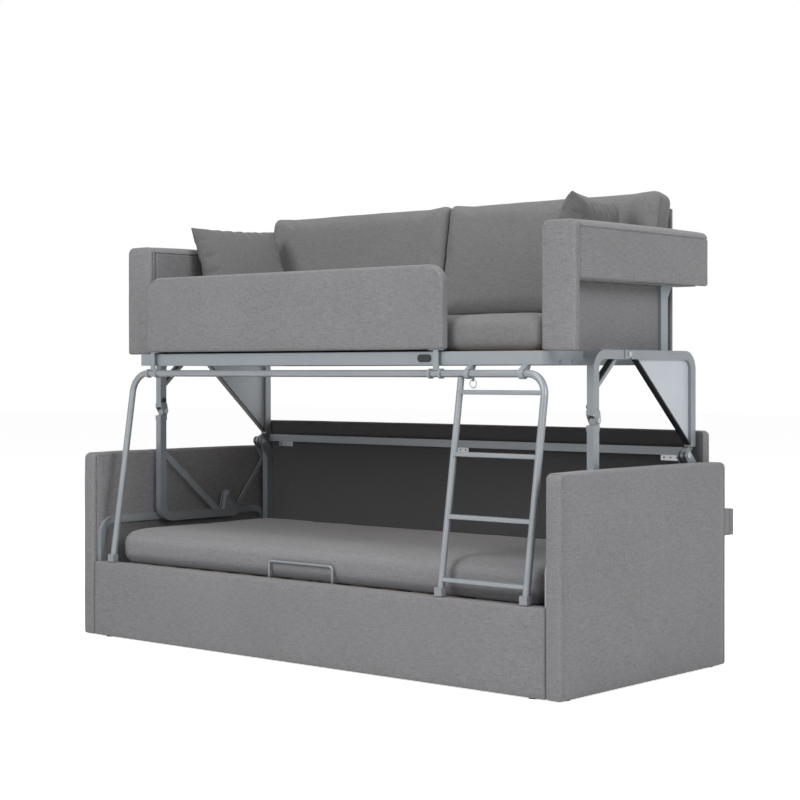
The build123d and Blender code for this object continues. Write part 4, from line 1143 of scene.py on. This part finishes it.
@dataclass
class FrameBraces(Assembly):
    """The short braces at the front of the upper end frames: a light web with a black folded edge.

    Each slants from the leg's rear face, leg_face, up to the top bar at rear.
    """

    leg_face: float = -0.1760
    low: float = 0.878
    rear: float = -0.0605
    top: float = 0.978
    web_wide: float = 0.020
    edge_wide: float = 0.005
    web_in: float = 0.959
    web_out: float = 0.962
    edge_in: float = 0.950
    edge_out: float = 0.971
    ease: float = 0.0006
    ease_steps: int = 2
    ease_over: float = radians(30)

    def build(self) -> None:
        """Model the web and the edge at the right, and mirror them."""
        rise, run = self.top - self.low, self.rear - self.leg_face
        slant = (rise ** 2 + run ** 2) ** 0.5
        up, back = slant / run, slant / rise
        outer = self.web_wide + self.edge_wide
        web = self.strip("right_brace_web", 0.0, self.web_wide, up, back, self.web_in, self.web_out)
        edge = self.strip("right_brace_edge", self.web_wide, outer, up, back,
                          self.edge_in, self.edge_out)
        self.place_pair(web, "deck", "frame_paint", "frame_braces")
        self.place_pair(edge, "deck", "black_paint", "frame_braces")

    def strip(self, name: str, start: float, end: float, up: float, back: float, low_x: float,
              high_x: float) -> Object:
        """One slanted strip between the leg and the top bar.

        Args:
            name: The new object's name.
            start: How far from the brace's lower line it starts.
            end: How far from that line it ends.
            up: Height along the leg for each metre of width.
            back: Length along the bar for each metre of width.
            low_x: Its inner face.
            high_x: Its outer face.

        Returns:
            The strip.
        """
        piece = block(name, Vector((low_x, self.leg_face, self.low)),
                      Vector((high_x, self.rear, self.top)))
        leads_to = {(False, False): (self.leg_face, self.low + start * up),
                    (False, True): (self.leg_face, self.low + end * up),
                    (True, False): (self.rear - start * back, self.top),
                    (True, True): (self.rear - end * back, self.top)}
        middle_y, middle_z = (self.leg_face + self.rear) / 2, (self.low + self.top) / 2

        def lean(place: Vector, normal: Vector) -> Vector:
            """Move each corner of the box to its corner of the strip."""
            y, z = leads_to[(place.y > middle_y, place.z > middle_z)]
            return Vector((place.x, y, z))

        move_points(piece, lean)
        finish_with(piece, "BEVEL", width=self.ease, segments=self.ease_steps,
                    limit_method="ANGLE", angle_limit=self.ease_over)
        shade(piece)
        return piece


# Stage


@dataclass(frozen=True)
class PhotoView:
    """The camera that the photograph's straight edges give."""

    place: tuple[float, float, float] = (4.0423, -4.6258, 0.9397)
    turn: float = 0.7138
    lens: float = 81.16
    sensor: float = 36.0
    shift_y: float = -0.0353

    def make(self) -> None:
        """Stand the camera, level, and look through it."""
        data = bpy.data.cameras.new("photo_view")
        data.lens, data.sensor_width, data.shift_y = self.lens, self.sensor, self.shift_y
        camera = bpy.data.objects.new("photo_view", data)
        camera.location = self.place
        camera.rotation_euler = (pi / 2, 0, self.turn)
        bpy.context.scene.collection.objects.link(camera)
        bpy.context.scene.camera = camera


@dataclass(frozen=True)
class Lamp:
    """One soft studio lamp, aimed at the middle of the bed."""

    name: str
    place: tuple[float, float, float]
    size: float
    power: float
    aim: tuple[float, float, float] = (0.0, 0.0, 0.7)

    def make(self) -> None:
        """Hang the lamp."""
        data = bpy.data.lights.new(self.name, "AREA")
        data.shape, data.size, data.energy = "DISK", self.size, self.power
        lamp = bpy.data.objects.new(self.name, data)
        lamp.location = self.place
        towards = Vector(self.aim) - Vector(self.place)
        lamp.rotation_euler = towards.to_track_quat("-Z", "Y").to_euler()
        bpy.context.scene.collection.objects.link(lamp)


@dataclass
class Studio:
    """A white room with soft light and a pale floor."""

    floor_half: float = 30.0
    ambient: float = 0.22
    floor_glow: float = 0.78
    floor_paper: str = "#F4F4F4"
    lamps: tuple[Lamp, ...] = (
        Lamp("key_lamp", place=(-0.4, -5.8, 4.2), size=3.2, power=200.0),
        Lamp("side_lamp", place=(5.4, -1.2, 3.0), size=2.6, power=112.0),
        Lamp("top_lamp", place=(0.6, -0.6, 5.2), size=3.0, power=80.0),
        Lamp("back_lamp", place=(0.8, 5.8, 3.4), size=3.0, power=120.0))

    def make(self) -> None:
        """Set the world, floor, lamps and view transform."""
        bpy.context.scene.view_settings.view_transform = "Standard"
        self.make_world()
        bpy.ops.object.select_all(action="DESELECT")
        bpy.ops.mesh.primitive_plane_add(size=2 * self.floor_half)
        floor = bpy.context.object
        floor.name = "studio_floor"
        floor.data.materials.append(self.floor_material())
        for lamp in self.lamps:
            lamp.make()

    def make_world(self) -> None:
        """White where the camera or a gloss sees it, and dimmer where it lights the bed."""
        world = bpy.data.worlds.new("studio_white")
        bpy.context.scene.world = world
        world.use_nodes = True
        tree = world.node_tree
        tree.nodes.clear()
        strength = add_node(tree, "MapRange",
                            {"Value": self.looked_at(tree), "To Min": self.ambient, "To Max": 1.0})
        light = add_node(tree, "Background",
                         {"Color": (1, 1, 1, 1), "Strength": strength.outputs[0]})
        add_node(tree, "OutputWorld", {"Surface": light.outputs[0]})

    def floor_material(self) -> Material:
        """Matt white paper that shows white to the camera and still takes the bed's shadow."""
        material, tree = new_material("white_paper_sweep")
        glow = add_node(tree, "Math", {0: self.looked_at(tree), 1: self.floor_glow},
                        operation="MULTIPLY")
        paper = add_node(tree, "BsdfDiffuse", {"Color": linear(self.floor_paper)})
        lit = add_node(tree, "Emission", {"Strength": glow.outputs[0]})
        both = add_node(tree, "AddShader", {0: paper.outputs[0], 1: lit.outputs[0]})
        return close_material(material, both)

    def looked_at(self, tree: NodeTree) -> NodeSocket:
        """Tell the rays that are looked along from those that light the bed.

        Args:
            tree: The node tree of the world or the floor.

        Returns:
            A socket that gives 1 for rays from the camera or a gloss, and 0 for the others.
        """
        rays = add_node(tree, "LightPath")
        seen = add_node(tree, "Math",
                        {0: rays.outputs["Is Camera Ray"], 1: rays.outputs["Is Glossy Ray"]},
                        operation="MAXIMUM")
        return seen.outputs[0]


def main() -> None:
    """Load the frame, build every sub-assembly and report its pieces."""
    logging.basicConfig(level=logging.INFO, format="%(name)s: %(message)s")
    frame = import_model()
    wardrobe = Wardrobe()
    wardrobe.dress_frame(frame)
    PhotoView().make()
    Studio().make()
    for sub_assembly in (FixedBase, LowerBed, UpperArms, UpperCushions, GuardBoard, FrameBraces):
        sub_assembly(wardrobe).build()


if __name__ == "__main__":
    main()
